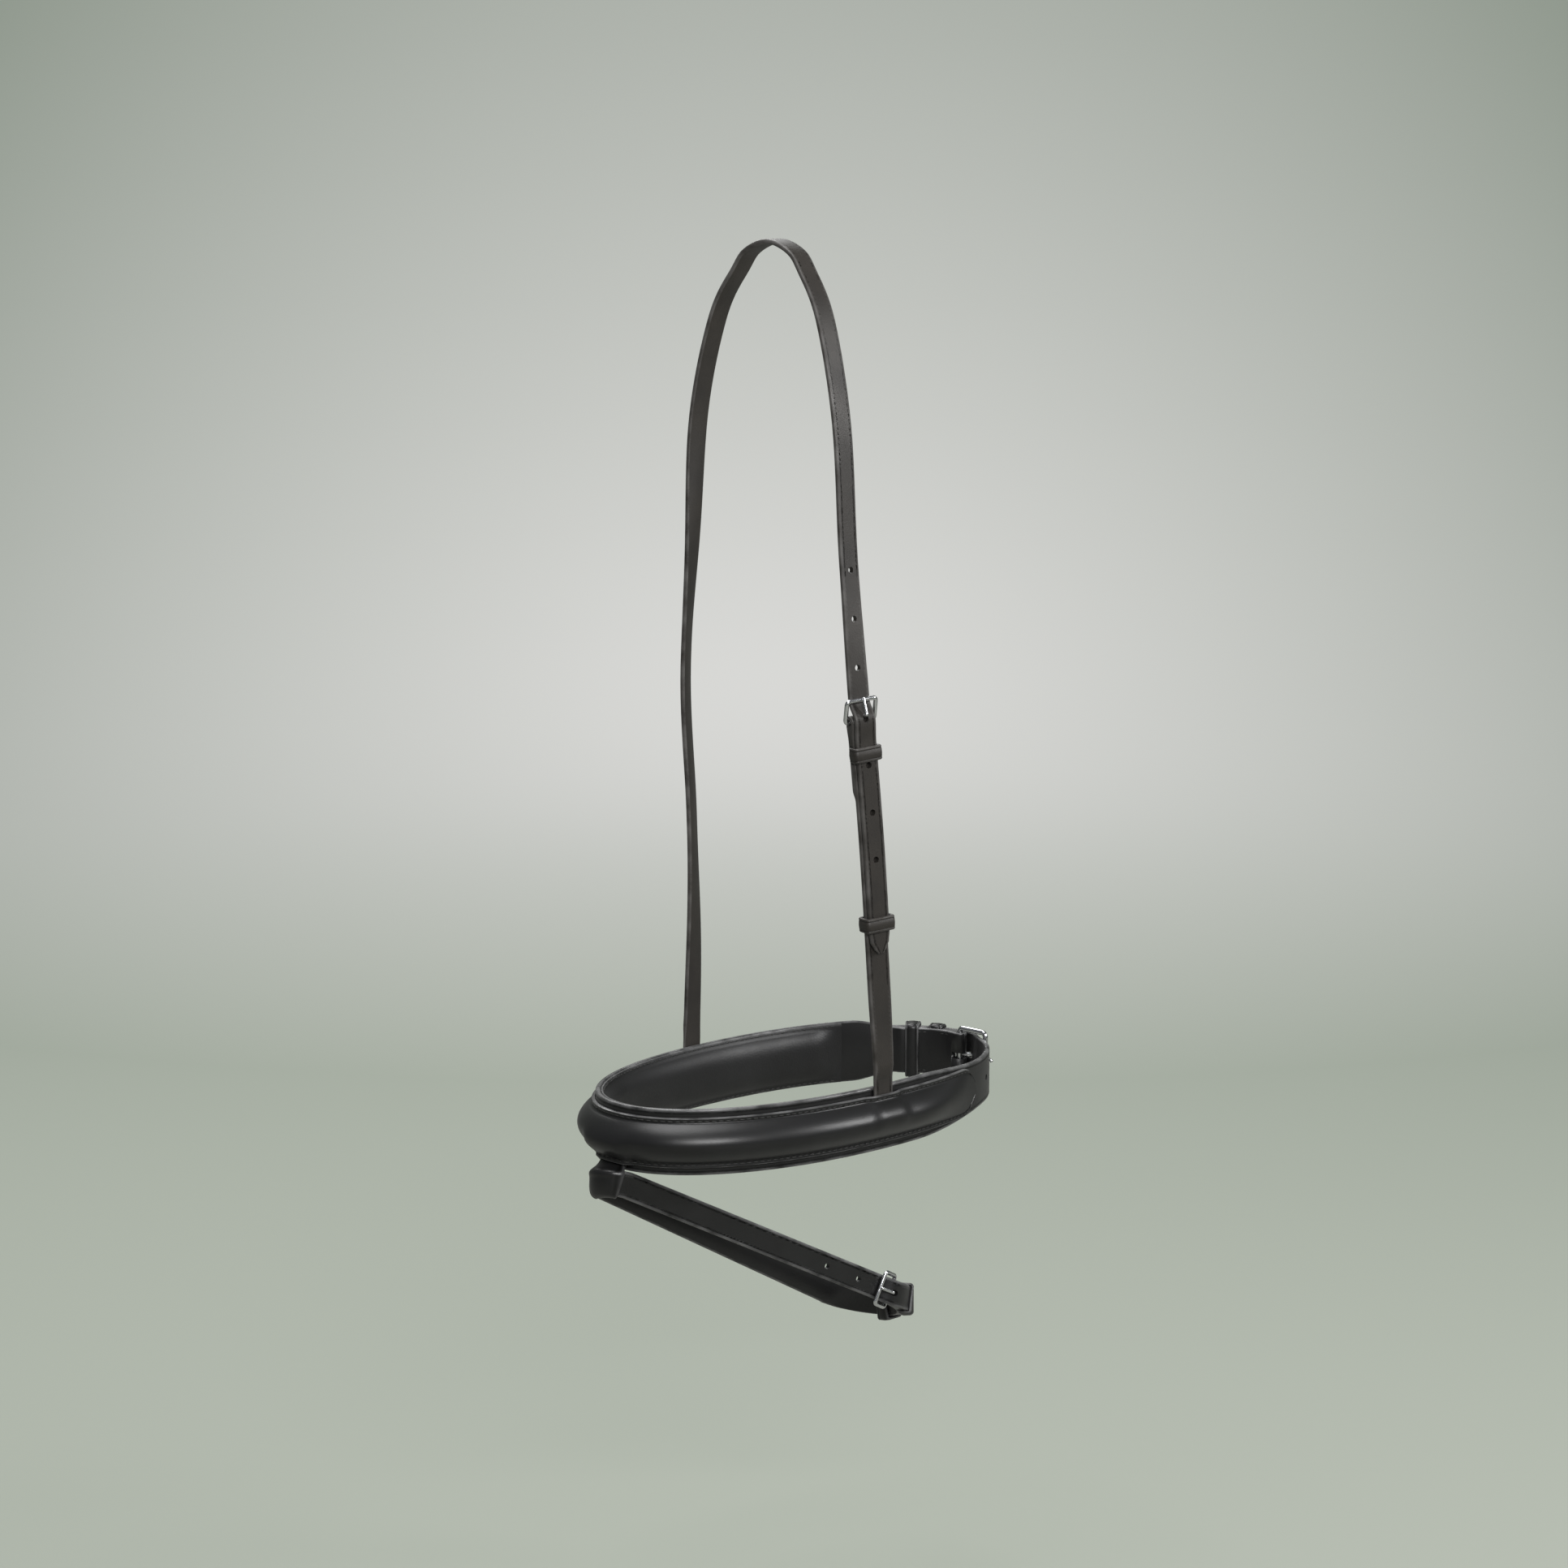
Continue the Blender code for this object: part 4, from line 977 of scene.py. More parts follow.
def make_leather(name, colour, roughness, scale, bump_strength, polish_and_highlight):
    """Grained leather with polished edges lightened by a painted highlight, and painted shade in the
    creases.
    """
    nodes, links, shader = new_tree(name)
    groups = bpy.data.node_groups
    place = add_node(nodes, "TexCoord")
    grain = add_node(nodes, "Group", {"Scale": scale}, node_tree=groups["Leather Grain"])
    painted_light_marks = add_node(nodes, "Group", {"Amount": polish_and_highlight}, node_tree=groups["Edge Highlight And Crease Shade"])
    tone = tone_ramp(nodes, (tinted(colour, 0.72), tinted(colour, 1.30)), (0.32, 0.70))
    # Painted highlight: the edges' colour is lifted where they would catch the light; their lower roughness
    # is real polish
    painted_edge_highlight = add_node(nodes, "Mix", {"B": tinted(colour, 2.0, 0.150)}, data_type="RGBA")
    # Painted shade: the creased grooves are darkened in colour
    painted_crease_shade = add_node(nodes, "Mix", {"B": tinted(colour, 0.35)}, data_type="RGBA")
    gloss = add_node(nodes, "MapRange", {"To Min": roughness + 0.08, "To Max": roughness - 0.08})
    polished = add_node(nodes, "Mix", {"B": roughness * 0.62})
    bump = add_node(nodes, "Bump", {"Strength": bump_strength, "Distance": 0.0003})
    connect(links, (place, "Object", grain, "Vector"), (place, "Object", painted_light_marks, "Vector"),
            (grain, "Tone", tone, "Fac"), (painted_light_marks, "PolishAndHighlight", painted_edge_highlight, "Factor"), (tone, "Color", painted_edge_highlight, "A"),
            (painted_light_marks, "CreaseShade", painted_crease_shade, "Factor"), (painted_edge_highlight, "Result", painted_crease_shade, "A"),
            (painted_crease_shade, "Result", shader, "Base Color"), (grain, "Tone", gloss, "Value"),
            (gloss, "Result", polished, "A"), (painted_light_marks, "PolishAndHighlight", polished, "Factor"),
            (polished, "Result", shader, "Roughness"), (grain, "Height", bump, "Height"),
            (bump, "Normal", shader, "Normal"))
    set_values(shader, {"IOR": 1.50, "Sheen Weight": 0.04, "Sheen Roughness": 0.45})


def make_plain(name, tones, texture, values, bump_values, shader_values, **settings):
    """A finish whose one texture gives both tone and bumps; gives its nodes, links, texture and shader."""
    nodes, links, shader = new_tree(name)
    place = add_node(nodes, "TexCoord")
    pattern = add_node(nodes, texture, values, **settings)
    tone = tone_ramp(nodes, tones)
    bump = add_node(nodes, "Bump", bump_values)
    connect(links, (place, "Object", pattern, "Vector"), (pattern, "Fac", tone, "Fac"),
            (tone, "Color", shader, "Base Color"), (pattern, "Fac", bump, "Height"),
            (bump, "Normal", shader, "Normal"))
    set_values(shader, shader_values)
    return nodes, links, pattern, shader


def make_thread(name, colour):
    """Waxed thread, twisted."""
    make_plain(name, (tinted(colour, 0.6), tinted(colour, 2.2)), "TexWave",
               {"Scale": 900.0, "Distortion": 1.5}, {"Strength": 0.4, "Distance": 0.0001},
               {"Roughness": 0.5}, bands_direction="DIAGONAL")


def make_steel(name, colour):
    """Polished stainless steel with faint handling marks."""
    nodes, links, marks, shader = make_plain(
        name, (tinted(colour, 0.86), tinted(colour, 1.0)), "TexNoise",
        {"Scale": 420.0, "Detail": 6.0, "Roughness": 0.7}, {"Strength": 0.05, "Distance": 0.0002},
        {"Metallic": 1.0})
    gloss = add_node(nodes, "MapRange",
                     {"From Min": 0.30, "From Max": 0.75, "To Min": 0.10, "To Max": 0.26})
    connect(links, (marks, "Fac", gloss, "Value"), (gloss, "Result", shader, "Roughness"))


def make_fibre(name, colour, scale):
    """Felt or foam."""
    make_plain(name, (tinted(colour, 0.5), tinted(colour, 1.6)), "TexNoise",
               {"Scale": scale, "Detail": 6.0}, {"Strength": 0.6, "Distance": 0.0006}, {"Roughness": 0.92})


class NOSEBAND_OT_base_strap(bpy.types.Operator):
    """The noseband's base strap, with its fold, punched holes and tip"""

    bl_idname = "noseband.base_strap"
    bl_label = "Base strap"

    def execute(self, context):
        sizes = context.scene.noseband_sizes
        piece = belt("base_strap", JAW_JOINT, JAW_BILLET_LENGTH, base_half, sizes)
        punch_strap(piece, JAW_JOINT.lapped(), JAW_HOLES)
        cut_fold(piece, JAW_JOINT)
        dress(piece, "black_leather", "noseband", "noseband_base")
        return {"FINISHED"}


class NOSEBAND_OT_cover(bpy.types.Operator):
    """The raised cover and the felt core inside it"""

    bl_idname = "noseband.cover"
    bl_label = "Cover"

    def execute(self, context):
        places = merge_places(even_lengths(-COVER_REACH, COVER_REACH, context.scene.noseband_sizes.step))
        shares = evenly(-1.0, 1.0, COVER_COLUMNS)
        bend = COVER_THICKNESS * CORNER_SHARE
        rows = []
        for place in places:
            half = cover_half(place)
            faces = [(cover_face(place, share, dome_share(share)), share) for share in shares]
            outer = [(face - seam_dip(share), half * share) for face, share in faces]
            inner = [(face - COVER_THICKNESS, half * share) for face, share in reversed(faces)]
            draw_ends(outer, -bend)
            outer.insert(1, (outer[1][0], -half + bend * 0.6))
            outer.insert(-1, (outer[-2][0], half - bend * 0.6))
            rows.append(NOSEBAND.row(place, outer + inner))
        count = len(rows[0])
        last = COVER_COLUMNS + 2
        rims = (0, 1, last - 1, last, last + 1, count - 1)
        # Rim marks for polish and a painted highlight; seam-groove marks for painted shade
        edge = [1.0 if index in rims else 0.0 for index in range(count)]
        crease = [1.0 if COVER_CREASE_START < abs(share) < COVER_CREASE_END else 0.0 for share in shares]
        crease = crease[:1] + [0.0] + crease[1:-1] + [0.0] + crease[-1:] + [0.0] * len(shares)
        cover = skin("raised_cover", rows, {"edge": edge, "crease": crease}, smooth=50.0)
        dress(cover, "black_leather", "noseband", "noseband_cover")
        rows = []
        for place in places:
            if abs(place) > CORE_REACH:
                continue
            seat = BASE_THICKNESS + GAP + max(cover_lifts(place))
            top = []
            for share in evenly(CORE_SHARES[0][0], CORE_SHARES[-1][0], CORE_COLUMNS):
                rise = min(eased(CORE_SHARES, share), dome_share(share))
                out = cover_face(place, share, rise) - COVER_THICKNESS - 3 * GAP
                top.append((max(out, seat + 2 * GAP), COVER_HEIGHT / 2 * share))
            rows.append(NOSEBAND.row(place, top + [(seat + GAP, top[-1][1]), (seat + GAP, top[0][1])]))
        core = dress(skin("felt_core", rows), "core_felt", "noseband", "noseband_core")
        return {"FINISHED"}


class NOSEBAND_OT_lining(bpy.types.Operator):
    """The soft lining and the foam that it wraps"""

    bl_idname = "noseband.lining"
    bl_label = "Lining"

    def execute(self, context):
        shares = evenly(-1.0, 1.0, LINING_COLUMNS)
        rows = []
        foam_rows = []
        for place in even_lengths(-LINING_FAR_REACH, LINING_NEAR_REACH, context.scene.noseband_sizes.step):
            half = base_half(place) - LINING_MARGIN
            outer = [(-GAP - pad_swell(place, share) * LINING_SWELL, half * share) for share in shares]
            inner = [(out - LINING_THICKNESS, up) for out, up in reversed(outer)]
            draw_ends(inner, LINING_THICKNESS * LINING_RIM_DRAW)
            rows.append(NOSEBAND.row(place, outer + inner))
            if pad_fade(place) < PAD_THICKNESS * FOAM_FULL:
                continue
            inside = [(-pad_swell(place, share) * FOAM_SWELL, half * share)
                      for share in shares[FOAM_SKIP:-FOAM_SKIP]]
            foam_rows.append(NOSEBAND.row(place, inside + [(-GAP, inside[-1][1]), (-GAP, inside[0][1])]))
        count = len(rows[0])
        rims = (0, LINING_COLUMNS, LINING_COLUMNS + 1, count - 1)
        # Rim marks for polish and a painted highlight
        marks = {"edge": [1.0 if index in rims else 0.0 for index in range(count)], "crease": [0.0] * count}
        lining = skin("soft_lining", rows, marks, smooth=60.0)
        dress(lining, "soft_lining_leather", "noseband", "noseband_lining")
        foam = skin("lining_foam", foam_rows)
        dress(foam, "lining_foam", "noseband", "noseband_padding")
        return {"FINISHED"}


class NOSEBAND_OT_head_straps(bpy.types.Operator):
    """The strap over the crown and the cheek strap that it buckles to"""

    bl_idname = "noseband.head_straps"
    bl_label = "Head straps"

    def execute(self, context):
        sizes = context.scene.noseband_sizes
        joint = HEAD_JOINT
        root = HEAD_NEAR_END - STRAP_END_DEPTH
        skive = (root - SKIVE_LENGTH, root - SKIVE_LENGTH / 4)
        folds = fold_places(joint)
        places = even_lengths(folds[0], HEAD_NEAR_END, sizes.step) + folds
        places = merge_places(places + even_lengths(skive[0], HEAD_NEAR_END, SEAT_STEP))

        def cheek_section(place):
            inner, outer = joint.chape(place - joint.bar_place)
            return (eased(((skive[0], inner), (skive[1], 0.0)), place),
                    eased(((skive[0], outer), (skive[1], STRAP_END_THICKNESS)), place), CHEEK_WIDTH / 2)

        cheek = strap("cheek_leather", HEAD, places, cheek_section, sizes)
        cut_fold(cheek, joint)
        dress(cheek, "charcoal_leather", "noseband", "cheek_strap")

        tip = joint.bar_place + HEAD_BILLET_LENGTH
        seat = HEAD_FAR_END + STRAP_END_DEPTH
        places = end_in_tip(even_lengths(HEAD_FAR_END, tip, sizes.step) + climb_places(joint), tip)

        def head_section(place):
            inner, outer = joint.billet(place - joint.bar_place)
            skived = ((seat + SKIVE_LENGTH / 4, STRAP_END_THICKNESS), (seat + SKIVE_LENGTH, outer))
            return inner, eased(skived, place), tip_half(HEAD_WIDTH / 2, tip - place)

        head = strap("headpiece_leather", HEAD, places, head_section, sizes)
        punch_strap(head, joint, HEAD_HOLES)
        dress(head, "charcoal_leather", "noseband", "headpiece_strap")
        return {"FINISHED"}


class NOSEBAND_OT_flash_strap(bpy.types.Operator):
    """The flash strap, with its fold, punched holes and tip"""

    bl_idname = "noseband.flash_strap"
    bl_label = "Flash strap"

    def execute(self, context):
        sizes = context.scene.noseband_sizes
        joint = FLASH_JOINT
        front = joint.route.total
        turn = 2 * FLASH_FRONT_RADIUS
        bends = even_lengths(front - turn, front + turn, sizes.step / 3)
        for start in (joint.bar_place, joint.bar_place + front):
            bends += even_lengths(start, start + 3 * FLASH_REAR_RADIUS, sizes.step / 2)
        piece = belt("flash_leather", joint, FLASH_BILLET_LENGTH, lambda length: FLASH_STRAP_HEIGHT / 2,
                     sizes, bends)
        punch_strap(piece, joint.lapped(), FLASH_HOLES)
        cut_fold(piece, joint)
        dress(piece, "black_leather", "flash", "flash_strap")
        return {"FINISHED"}


def tab_path(shift, bulge):
    """Middle line of the tab's ply beside its centre: down the front, under the strap and up behind."""
    beside = FLASH_ASIDE + shift
    root = BASE_THICKNESS + GAP
    top = -COVER_HEIGHT / 2 * CORE_SHARES[0][0] + TAB_TOP_CLEAR
    foot = BASE_HEIGHT / 2 - TAB_FOOT_RISE
    half = FLASH_STRAP_HEIGHT / 2
    front = FLASH_THICKNESS + GAP + TAB_PLY / 2
    behind = -GAP - TAB_PLY / 2
    down = NOSEBAND.row(beside, ((root + TAB_PLY * 1.5, -top), (root + TAB_PLY * 1.5, -foot)))
    round_strap = FLASH.row(shift, (
        (front + bulge * 0.25, half * 0.92), (front + bulge * 0.80, half * 0.42),
        (front + bulge, -half * 0.18), (front + bulge * 0.62, -half * 0.68),
        (front - TAB_PLY * 0.3, -half * 0.98), (FLASH_THICKNESS * 0.4, -half - GAP - TAB_PLY * 0.5),
        (behind, -half * 0.78), (behind, 0.0), (behind, half * 0.70)))
    up = NOSEBAND.row(beside, (
        (root + TAB_PLY * 0.45, -foot - TAB_BEND_START), (root + TAB_PLY * 0.5, -foot + TAB_BEND_END),
        (root + TAB_PLY * 0.5, -top)))
    return smooth_points(down + round_strap + up, 5)


class NOSEBAND_OT_flash_tab(bpy.types.Operator):
    """The tab that carries the flash strap: one ply of leather folded round it and sewn under the cover"""

    bl_idname = "noseband.flash_tab"
    bl_label = "Flash tab"

    def execute(self, context):
        columns = even_lengths(-TAB_WIDTH / 2, TAB_WIDTH / 2, TAB_STEP)
        paths = [tab_path(shift, context.scene.noseband_sizes.tab_bulge) for shift in columns]
        rims = [TAB_WIDTH / 2 - abs(shift) for shift in columns]
        last = len(columns) - 1
        rows = []
        for step in range(len(paths[0])):
            outside = []
            inside = []
            for index, rim in enumerate(rims):
                path = paths[index]
                ahead = path[min(step + 1, len(path) - 1)] - path[max(step - 1, 0)]
                side = paths[min(index + 1, last)][step] - paths[max(index - 1, 0)][step]
                dip = TAB_RIM_DIP * exp(-(rim / RIM_BLUR) ** 2)
                dip += TAB_SEAM_DIP * exp(-((rim - SEAM_INSET) / RIM_BLUR) ** 2)
                normal = ahead.cross(side).normalized() * TAB_PLY * (1.0 - dip) / 2
                outside.append(path[step] + normal)
                inside.append(path[step] - normal)
            rows.append(outside + list(reversed(inside)))
        # Rim marks give polish and a painted highlight; the seam line's mark gives painted shade
        edge = [TAB_RIM_POLISH_AND_HIGHLIGHT if rim < TAB_RIM else 0.0 for rim in rims]
        crease = [1.0 if abs(rim - SEAM_INSET) < TAB_CREASE else 0.0 for rim in rims]
        tab = skin("flash_tab", rows, {"edge": edge * 2, "crease": crease + [0.0] * len(rims)}, smooth=60.0)
        dress(tab, "black_leather", None, "flash_tab_root", "flash_tab_loop")
        neck = FLASH.at(0.0, FLASH_THICKNESS / 2, FLASH_STRAP_HEIGHT / 2)
        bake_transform(tab)
        return {"FINISHED"}


def loop_piece(name, joint, along, low, high, gap):
    """A leather keeper or runner: a band with rounded and creased edges, bent round the straps."""
    half = joint.width / 2 + gap
    inner = KEEPER_WALL * LOOP_BEND * LOOP_BEND_SHARE
    corners = ((high, half), (low, half), (low, -half), (high, -half))
    rows = []
    for quarter, (out, up) in enumerate(corners):
        centre_out = out - copysign(inner, out - (low + high) / 2)
        centre_up = up - copysign(inner, up)
        for step in range(7):
            turn = radians(90.0 * quarter + 15.0 * step)
            row = []
            for share, depth in LOOP_BAND:
                reach = inner + depth * KEEPER_WALL
                row.append(joint.route.at(joint.bar_place + along + share * KEEPER_WIDTH / 2,
                                          centre_out + reach * cos(turn),
                                          centre_up + reach * sin(turn)))
            rows.append(row)
    return skin(name, rows, LOOP_MARKS, looped=True, smooth=50.0)


class NOSEBAND_OT_loops(bpy.types.Operator):
    """The keepers sewn into the folds and the loose runners"""

    bl_idname = "noseband.loops"
    bl_label = "Keepers and runners"

    def execute(self, context):
        for label, joint, place, paint, body in (
                ("head", HEAD_JOINT, HEAD_RUNNER_PLACE, "charcoal_leather", "noseband"),
                ("jaw", JAW_JOINT, JAW_RUNNER_PLACE, "black_leather", "noseband"),
                ("flash", FLASH_JOINT, FLASH_RUNNER_PLACE, "black_leather", "flash")):
            low = joint.bar_out + KEEPER_WALL / 2
            high = joint.billet(FOLD_EASE)[1] + GAP
            keeper = loop_piece(label + "_keeper_leather", joint, KEEPER_PLACE, low, high, GAP)
            dress(keeper, paint, body, label + "_keeper")
            low = joint.chape(place)[0] - SLIDE_GAP
            high = joint.billet(place)[1] + SLIDE_GAP
            runner = loop_piece(label + "_runner_leather", joint, place, low, high, SLIDE_GAP)
            dress(runner, paint, label + "_slider", label + "_runner")
        return {"FINISHED"}


def wire_frame(name, joint):
    """A buckle's frame: round wire bent to a rectangle, its end bar pressed a little flat."""
    matrix, reach = joint.frame_matrix()
    radius = joint.wire / 2
    half = joint.width / 2 + BUCKLE_SIDE_GAP + radius
    bend = WIRE_BEND * radius
    corners = ((half - bend, bend), (half - bend, reach - bend),
               (bend - half, reach - bend), (bend - half, bend))
    rows = []
    for quarter, (aside, ahead) in enumerate(corners):
        for step in range(9):
            turn = radians(90.0 * (quarter - 1) + 11.25 * step)
            outward = Vector((cos(turn), sin(turn), 0.0))
            centre = Vector((aside, ahead, 0.0)) + outward * bend
            press = END_BAR_PRESS if centre.y > reach * END_BAR_START else 1.0
            ring = []
            for angle in evenly(0.0, tau, 20)[:-1]:
                rise = UP * (radius * press * sin(angle))
                ring.append(matrix @ (centre + outward * radius * cos(angle) + rise))
            rows.append(ring)
    return skin(name, rows, looped=True, smooth=80.0)


def tongue_piece(name, joint):
    """A tongue: flat wire coiled on the bar, humped over the strap, its tip resting on the end bar."""
    matrix = joint.frame_matrix()[0]
    inverse = matrix.inverted()
    thick = joint.tongue
    crest = joint.bar_out + joint.eye + 2 * GAP + joint.billet_thickness + thick / 8
    rest = joint.end_out + joint.wire / 2 + GAP + thick / 2
    ring = joint.bore + thick / 4
    knots = []
    for angle in COIL_TURNS:
        turn = radians(angle)
        knots.append(Vector((0.0, ring * cos(turn), ring * sin(turn))))
    for share, out in ((ELBOW_SHARE, crest), (ELBOW_SHARE + CREST_SHARE, crest + thick / 8),
                       (1.0, rest), (TONGUE_TIP_SHARE, rest - thick / 8)):
        knot = inverse @ joint.route.at(joint.bar_place - share * joint.span, out)
        knots.append(Vector((0.0, knot.y, knot.z)))
    path = smooth_points(knots, 6)
    across = Vector((1.0, 0.0, 0.0))
    rows = []
    for index, centre in enumerate(path):
        ahead = (path[min(index + 1, len(path) - 1)] - path[max(index - 1, 0)]).normalized()
        share = index / (len(path) - 1)
        wide = across * thick * eased(TONGUE_WIDTHS, share)
        tall = across.cross(ahead) * thick * eased(TONGUE_HEIGHTS, share)
        rows.append([matrix @ (centre + wide * cos(turn) + tall * sin(turn))
                     for turn in evenly(0.0, tau, 16)[:-1]])
    return skin(name, rows, smooth=80.0)


class NOSEBAND_OT_buckles(bpy.types.Operator):
    """The three steel buckles"""

    bl_idname = "noseband.buckles"
    bl_label = "Buckles"

    def execute(self, context):
        for label, joint in (("head", HEAD_JOINT), ("jaw", JAW_JOINT), ("flash", FLASH_JOINT)):
            ring = wire_frame(label + "_buckle_wire", joint)
            dress(ring, "stainless_steel", label + "_frame", label + "_buckle_frame")
            tongue = tongue_piece(label + "_buckle_pin", joint)
            dress(tongue, "stainless_steel", label + "_tongue", label + "_buckle_tongue")
        return {"FINISHED"}


def seam(name, route, start, end, face, sizes, inward=False):
    """A sewn row along a route. The face gives (out, up) at a length; one stitch is copied along it."""
    drop_selection()
    bpy.ops.mesh.primitive_uv_sphere_add(segments=8, ring_count=6, radius=0.5)
    pattern = bpy.context.object
    shape = [vertex.co.copy() for vertex in pattern.data.vertices]
    # Sorted, because Blender lists a sphere's faces in another order from run to run
    faces = sorted(tuple(corners.vertices) for corners in pattern.data.polygons)
    bpy.data.objects.remove(pattern, do_unlink=True)
    lengths = even_lengths(start, end, sizes.stitch_pitch)
    places = [route.at(length, *face(length)) for length in lengths]
    share = sizes.stitch_length / sizes.stitch_pitch
    points = []
    polygons = []
    for length, first, last in zip(lengths, places, places[1:]):
        normal = route.axes(length)[2] * (-1.0 if inward else 1.0)
        ahead = (last - first) * share
        middle = first.lerp(last, 0.5)
        side = normal.cross(ahead).normalized()
        base = len(points)
        for corner in shape:
            points.append(middle + ahead * corner.z + side * sizes.thread * corner.x
                          + normal * sizes.thread * THREAD_FLATNESS * corner.y)
        polygons += [tuple(base + index for index in corners) for corners in faces]
    mesh = bpy.data.meshes.new(name)
    mesh.from_pydata(points, [], polygons)
    thing = bpy.data.objects.new(name, mesh)
    bpy.context.scene.collection.objects.link(thing)
    pick(thing)
    bpy.ops.object.mode_set(mode="EDIT")
    face_outward()
    bpy.ops.object.shade_smooth()
    return thing


class NOSEBAND_OT_stitching(bpy.types.Operator):
    """The sewn rows of the cover, the lining and the folds"""

    bl_idname = "noseband.stitching"
    bl_label = "Stitching"

    def execute(self, context):
        sizes = context.scene.noseband_sizes
        reach = COVER_REACH - COVER_SEAM_END
        rows = []
        for label, side in (("upper", 1), ("lower", -1)):
            share = side * SEAM_SHARE
            rows.append(seam(
                "cover_" + label + "_stitches", NOSEBAND, -reach, reach,
                lambda length: (cover_face(length, share, 0.0) + SEAM_LIFT, cover_half(length) * share),
                sizes))
            rows.append(seam(
                "lining_" + label + "_stitches", NOSEBAND,
                LINING_SEAM_END - LINING_FAR_REACH, LINING_NEAR_REACH - LINING_SEAM_END,
                lambda length: (-GAP - LINING_THICKNESS - SEAM_LIFT,
                                (base_half(length) - LINING_MARGIN) * side * LINING_SEAM_SHARE),
                sizes, inward=True))
        for row in rows:
            dress(row, "waxed_thread", "noseband")
        spans = ((FOLD_SEAM_START, KEEPER_PLACE - KEEPER_WIDTH / 2),
                 (KEEPER_PLACE + KEEPER_WIDTH / 2, FOLD_LENGTH - 0.001))
        for label, joint, body in (("head", HEAD_JOINT, "noseband"), ("jaw", JAW_JOINT, "noseband"),
                                   ("flash", FLASH_JOINT, "flash")):
            rows = []
            for side in (-1, 1):
                for start, end in spans:
                    rows.append(seam(
                        "row", joint.route, joint.bar_place + start, joint.bar_place + end,
                        lambda length: (joint.chape(length - joint.bar_place)[0] + sizes.thread / 5,
                                        side * (joint.width / 2 - SEAM_INSET)), sizes, inward=True))
            piece = join(rows)
            piece.name = label + "_fold_stitches"
            dress(piece, "waxed_thread", body)
        return {"FINISHED"}


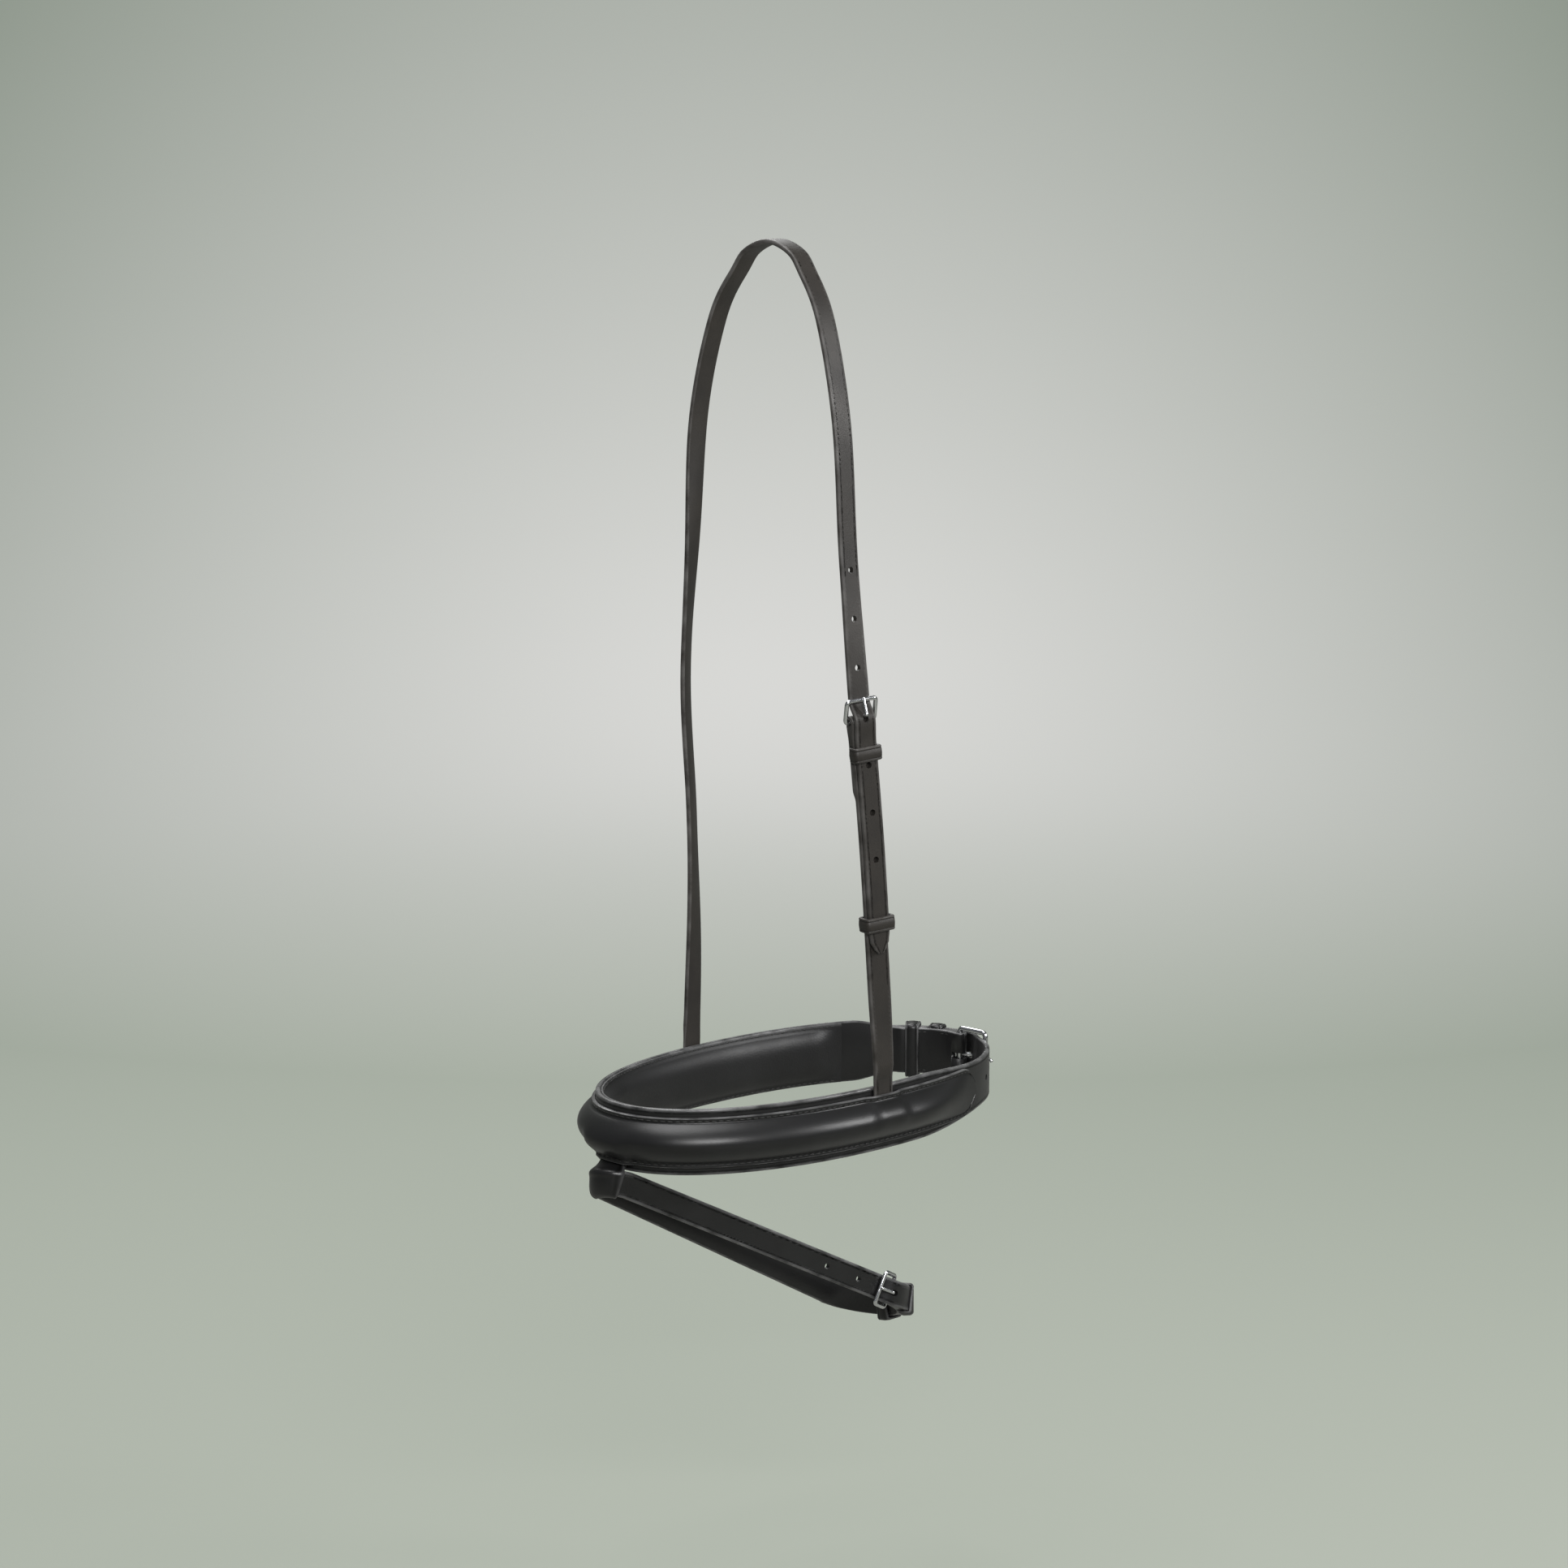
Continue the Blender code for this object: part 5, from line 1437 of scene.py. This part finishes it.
class NOSEBAND_OT_stage(bpy.types.Operator):
    """The pale floor and backdrop with a painted pool of light, soft lamps and the camera"""

    bl_idname = "noseband.stage"
    bl_label = "Stage"

    def execute(self, context):
        scene = context.scene
        colours = scene.noseband_colours
        ahead = Vector((CAMERA_AHEAD.x, CAMERA_AHEAD.y, 0.0)).normalized()
        curve = [radians(9.0 * step) for step in range(11)]
        profile = [(FLOOR_NEAR, FLOOR_HEIGHT)]
        profile += [(CURVE_START + CURVE_RADIUS * sin(turn),
                     CURVE_HEIGHT - CURVE_RADIUS * cos(turn)) for turn in curve]
        profile.append((CURVE_START + CURVE_RADIUS, WALL_TOP))
        drop_selection()
        bpy.ops.mesh.primitive_grid_add(x_subdivisions=1, y_subdivisions=len(profile) - 1, size=1.0)
        floor = context.object
        floor.name = "studio_floor"
        for vertex in floor.data.vertices:
            reach, height = profile[round((vertex.co.y + 0.5) * (len(profile) - 1))]
            side = CAMERA_RIGHT * FLOOR_WIDTH * vertex.co.x
            vertex.co = ahead * reach + side + UP * height
        bpy.ops.object.shade_smooth()
        nodes, links, shader = new_tree("backdrop_paper")
        place = add_node(nodes, "TexCoord")
        cloud = add_node(nodes, "TexNoise", {"Scale": 0.6, "Detail": 2.0})
        tone = tone_ramp(nodes, (tinted(colours.backdrop, 0.94), tinted(colours.backdrop, 1.06)))
        # Painted pool of light: the backdrop glows brightest near a point behind the object and darker
        # further off; camera rays see it fully and glossy rays at a quarter, so it also shows as a painted
        # reflection on the object
        middle = ahead * PAINTED_POOL_PLACE + UP * PAINTED_POOL_HEIGHT
        pool = add_node(nodes, "VectorMath", {1: middle}, operation="DISTANCE")
        fade = add_node(nodes, "MapRange", {"From Max": PAINTED_POOL_REACH})
        painted_light_pool = tone_ramp(nodes, (tinted(colours.painted_light_pool, 1.0), tinted(colours.painted_pool_falloff, 1.0)))
        rays = add_node(nodes, "LightPath")
        either = add_node(nodes, "Math", {1: 0.25}, operation="MULTIPLY_ADD")
        seen = add_node(nodes, "Mix", {"A": (0.0, 0.0, 0.0, 1.0)}, data_type="RGBA")
        connect(links, (place, "Object", cloud, "Vector"), (cloud, "Fac", tone, "Fac"),
                (tone, "Color", shader, "Base Color"), (place, "Object", pool, 0),
                (pool, "Value", fade, "Value"), (fade, "Result", painted_light_pool, "Fac"),
                (rays, "Is Glossy Ray", either, 0), (rays, "Is Camera Ray", either, 2),
                (either, "Value", seen, "Factor"), (painted_light_pool, "Color", seen, "B"),
                (seen, "Result", shader, "Emission Color"))
        set_values(shader, {"Emission Strength": 1.0, "Roughness": 0.95, "Specular IOR Level": 0.1})
        floor.data.materials.append(bpy.data.materials["fine_backdrop_paper"])

        world = bpy.data.worlds.new("studio")
        scene.world = world
        world.use_nodes = True
        nodes = world.node_tree.nodes
        rays = add_node(nodes, "LightPath")
        sky = add_node(nodes, "Mix", {"A": SKY_LIGHT, "B": SKY_SEEN}, data_type="RGBA")
        connect(world.node_tree.links, (rays, "Is Camera Ray", sky, "Factor"),
                (sky, "Result", nodes["Background"], "Color"))
        for name, turn, rise, wide, tall, power in LAMPS:
            turn = radians(turn)
            rise = radians(rise)
            level = CAMERA_RIGHT * sin(turn) - ahead * cos(turn)
            towards = level * cos(rise) + UP * sin(rise)
            bpy.ops.object.light_add(type="AREA", location=UP * LAMP_HEIGHT + towards * LAMP_REACH)
            lamp = context.object
            lamp.name = name
            lamp.data.shape = "RECTANGLE"
            lamp.data.size = wide
            lamp.data.size_y = tall
            lamp.data.energy = power
            lamp.rotation_mode = "QUATERNION"
            lamp.rotation_quaternion = (-towards).to_track_quat("-Z", "Y")

        bpy.ops.object.camera_add(location=CAMERA_PLACE)
        camera = context.object
        camera.name = "studio_camera"
        camera.rotation_mode = "QUATERNION"
        axes = Matrix((CAMERA_RIGHT, CAMERA_RIGHT.cross(CAMERA_AHEAD), -CAMERA_AHEAD)).transposed()
        camera.rotation_quaternion = axes.to_quaternion()
        camera.data.sensor_width = SENSOR
        camera.data.lens = CAMERA_LENS
        camera.data.clip_start = CLIP_NEAR
        camera.data.clip_end = CLIP_FAR
        scene.camera = camera
        scene.view_settings.view_transform = "Standard"
        return {"FINISHED"}


class NOSEBAND_PT_panel(bpy.types.Panel):
    """Sizes, colours and steps of the flash noseband"""

    bl_idname = "NOSEBAND_PT_panel"
    bl_label = "Flash Noseband"
    bl_space_type = "VIEW_3D"
    bl_region_type = "UI"
    bl_category = "Noseband"

    def draw(self, context):
        layout = self.layout
        for group in (context.scene.noseband_sizes, context.scene.noseband_colours):
            box = layout.box()
            for name in group.bl_rna.properties.keys():
                if name not in ("rna_type", "name"):
                    box.prop(group, name)
        for step in STEPS:
            layout.operator(step.bl_idname)


STEPS = (NOSEBAND_OT_finishes, NOSEBAND_OT_stage, NOSEBAND_OT_base_strap, NOSEBAND_OT_cover,
         NOSEBAND_OT_lining, NOSEBAND_OT_head_straps, NOSEBAND_OT_flash_strap, NOSEBAND_OT_flash_tab,
         NOSEBAND_OT_loops, NOSEBAND_OT_buckles, NOSEBAND_OT_stitching)
CLASSES = (NosebandSizes, NosebandColours) + STEPS + (NOSEBAND_PT_panel,)


def register():
    for item in CLASSES:
        bpy.utils.register_class(item)
    bpy.types.Scene.noseband_sizes = bpy.props.PointerProperty(type=NosebandSizes)
    bpy.types.Scene.noseband_colours = bpy.props.PointerProperty(type=NosebandColours)


def unregister():
    del bpy.types.Scene.noseband_colours
    del bpy.types.Scene.noseband_sizes
    for item in reversed(CLASSES):
        bpy.utils.unregister_class(item)


def main():
    """Register the tools and build every piece."""
    register()
    for step in STEPS:
        area, name = step.bl_idname.split(".")
        getattr(getattr(bpy.ops, area), name)()


if __name__ == "__main__":
    main()
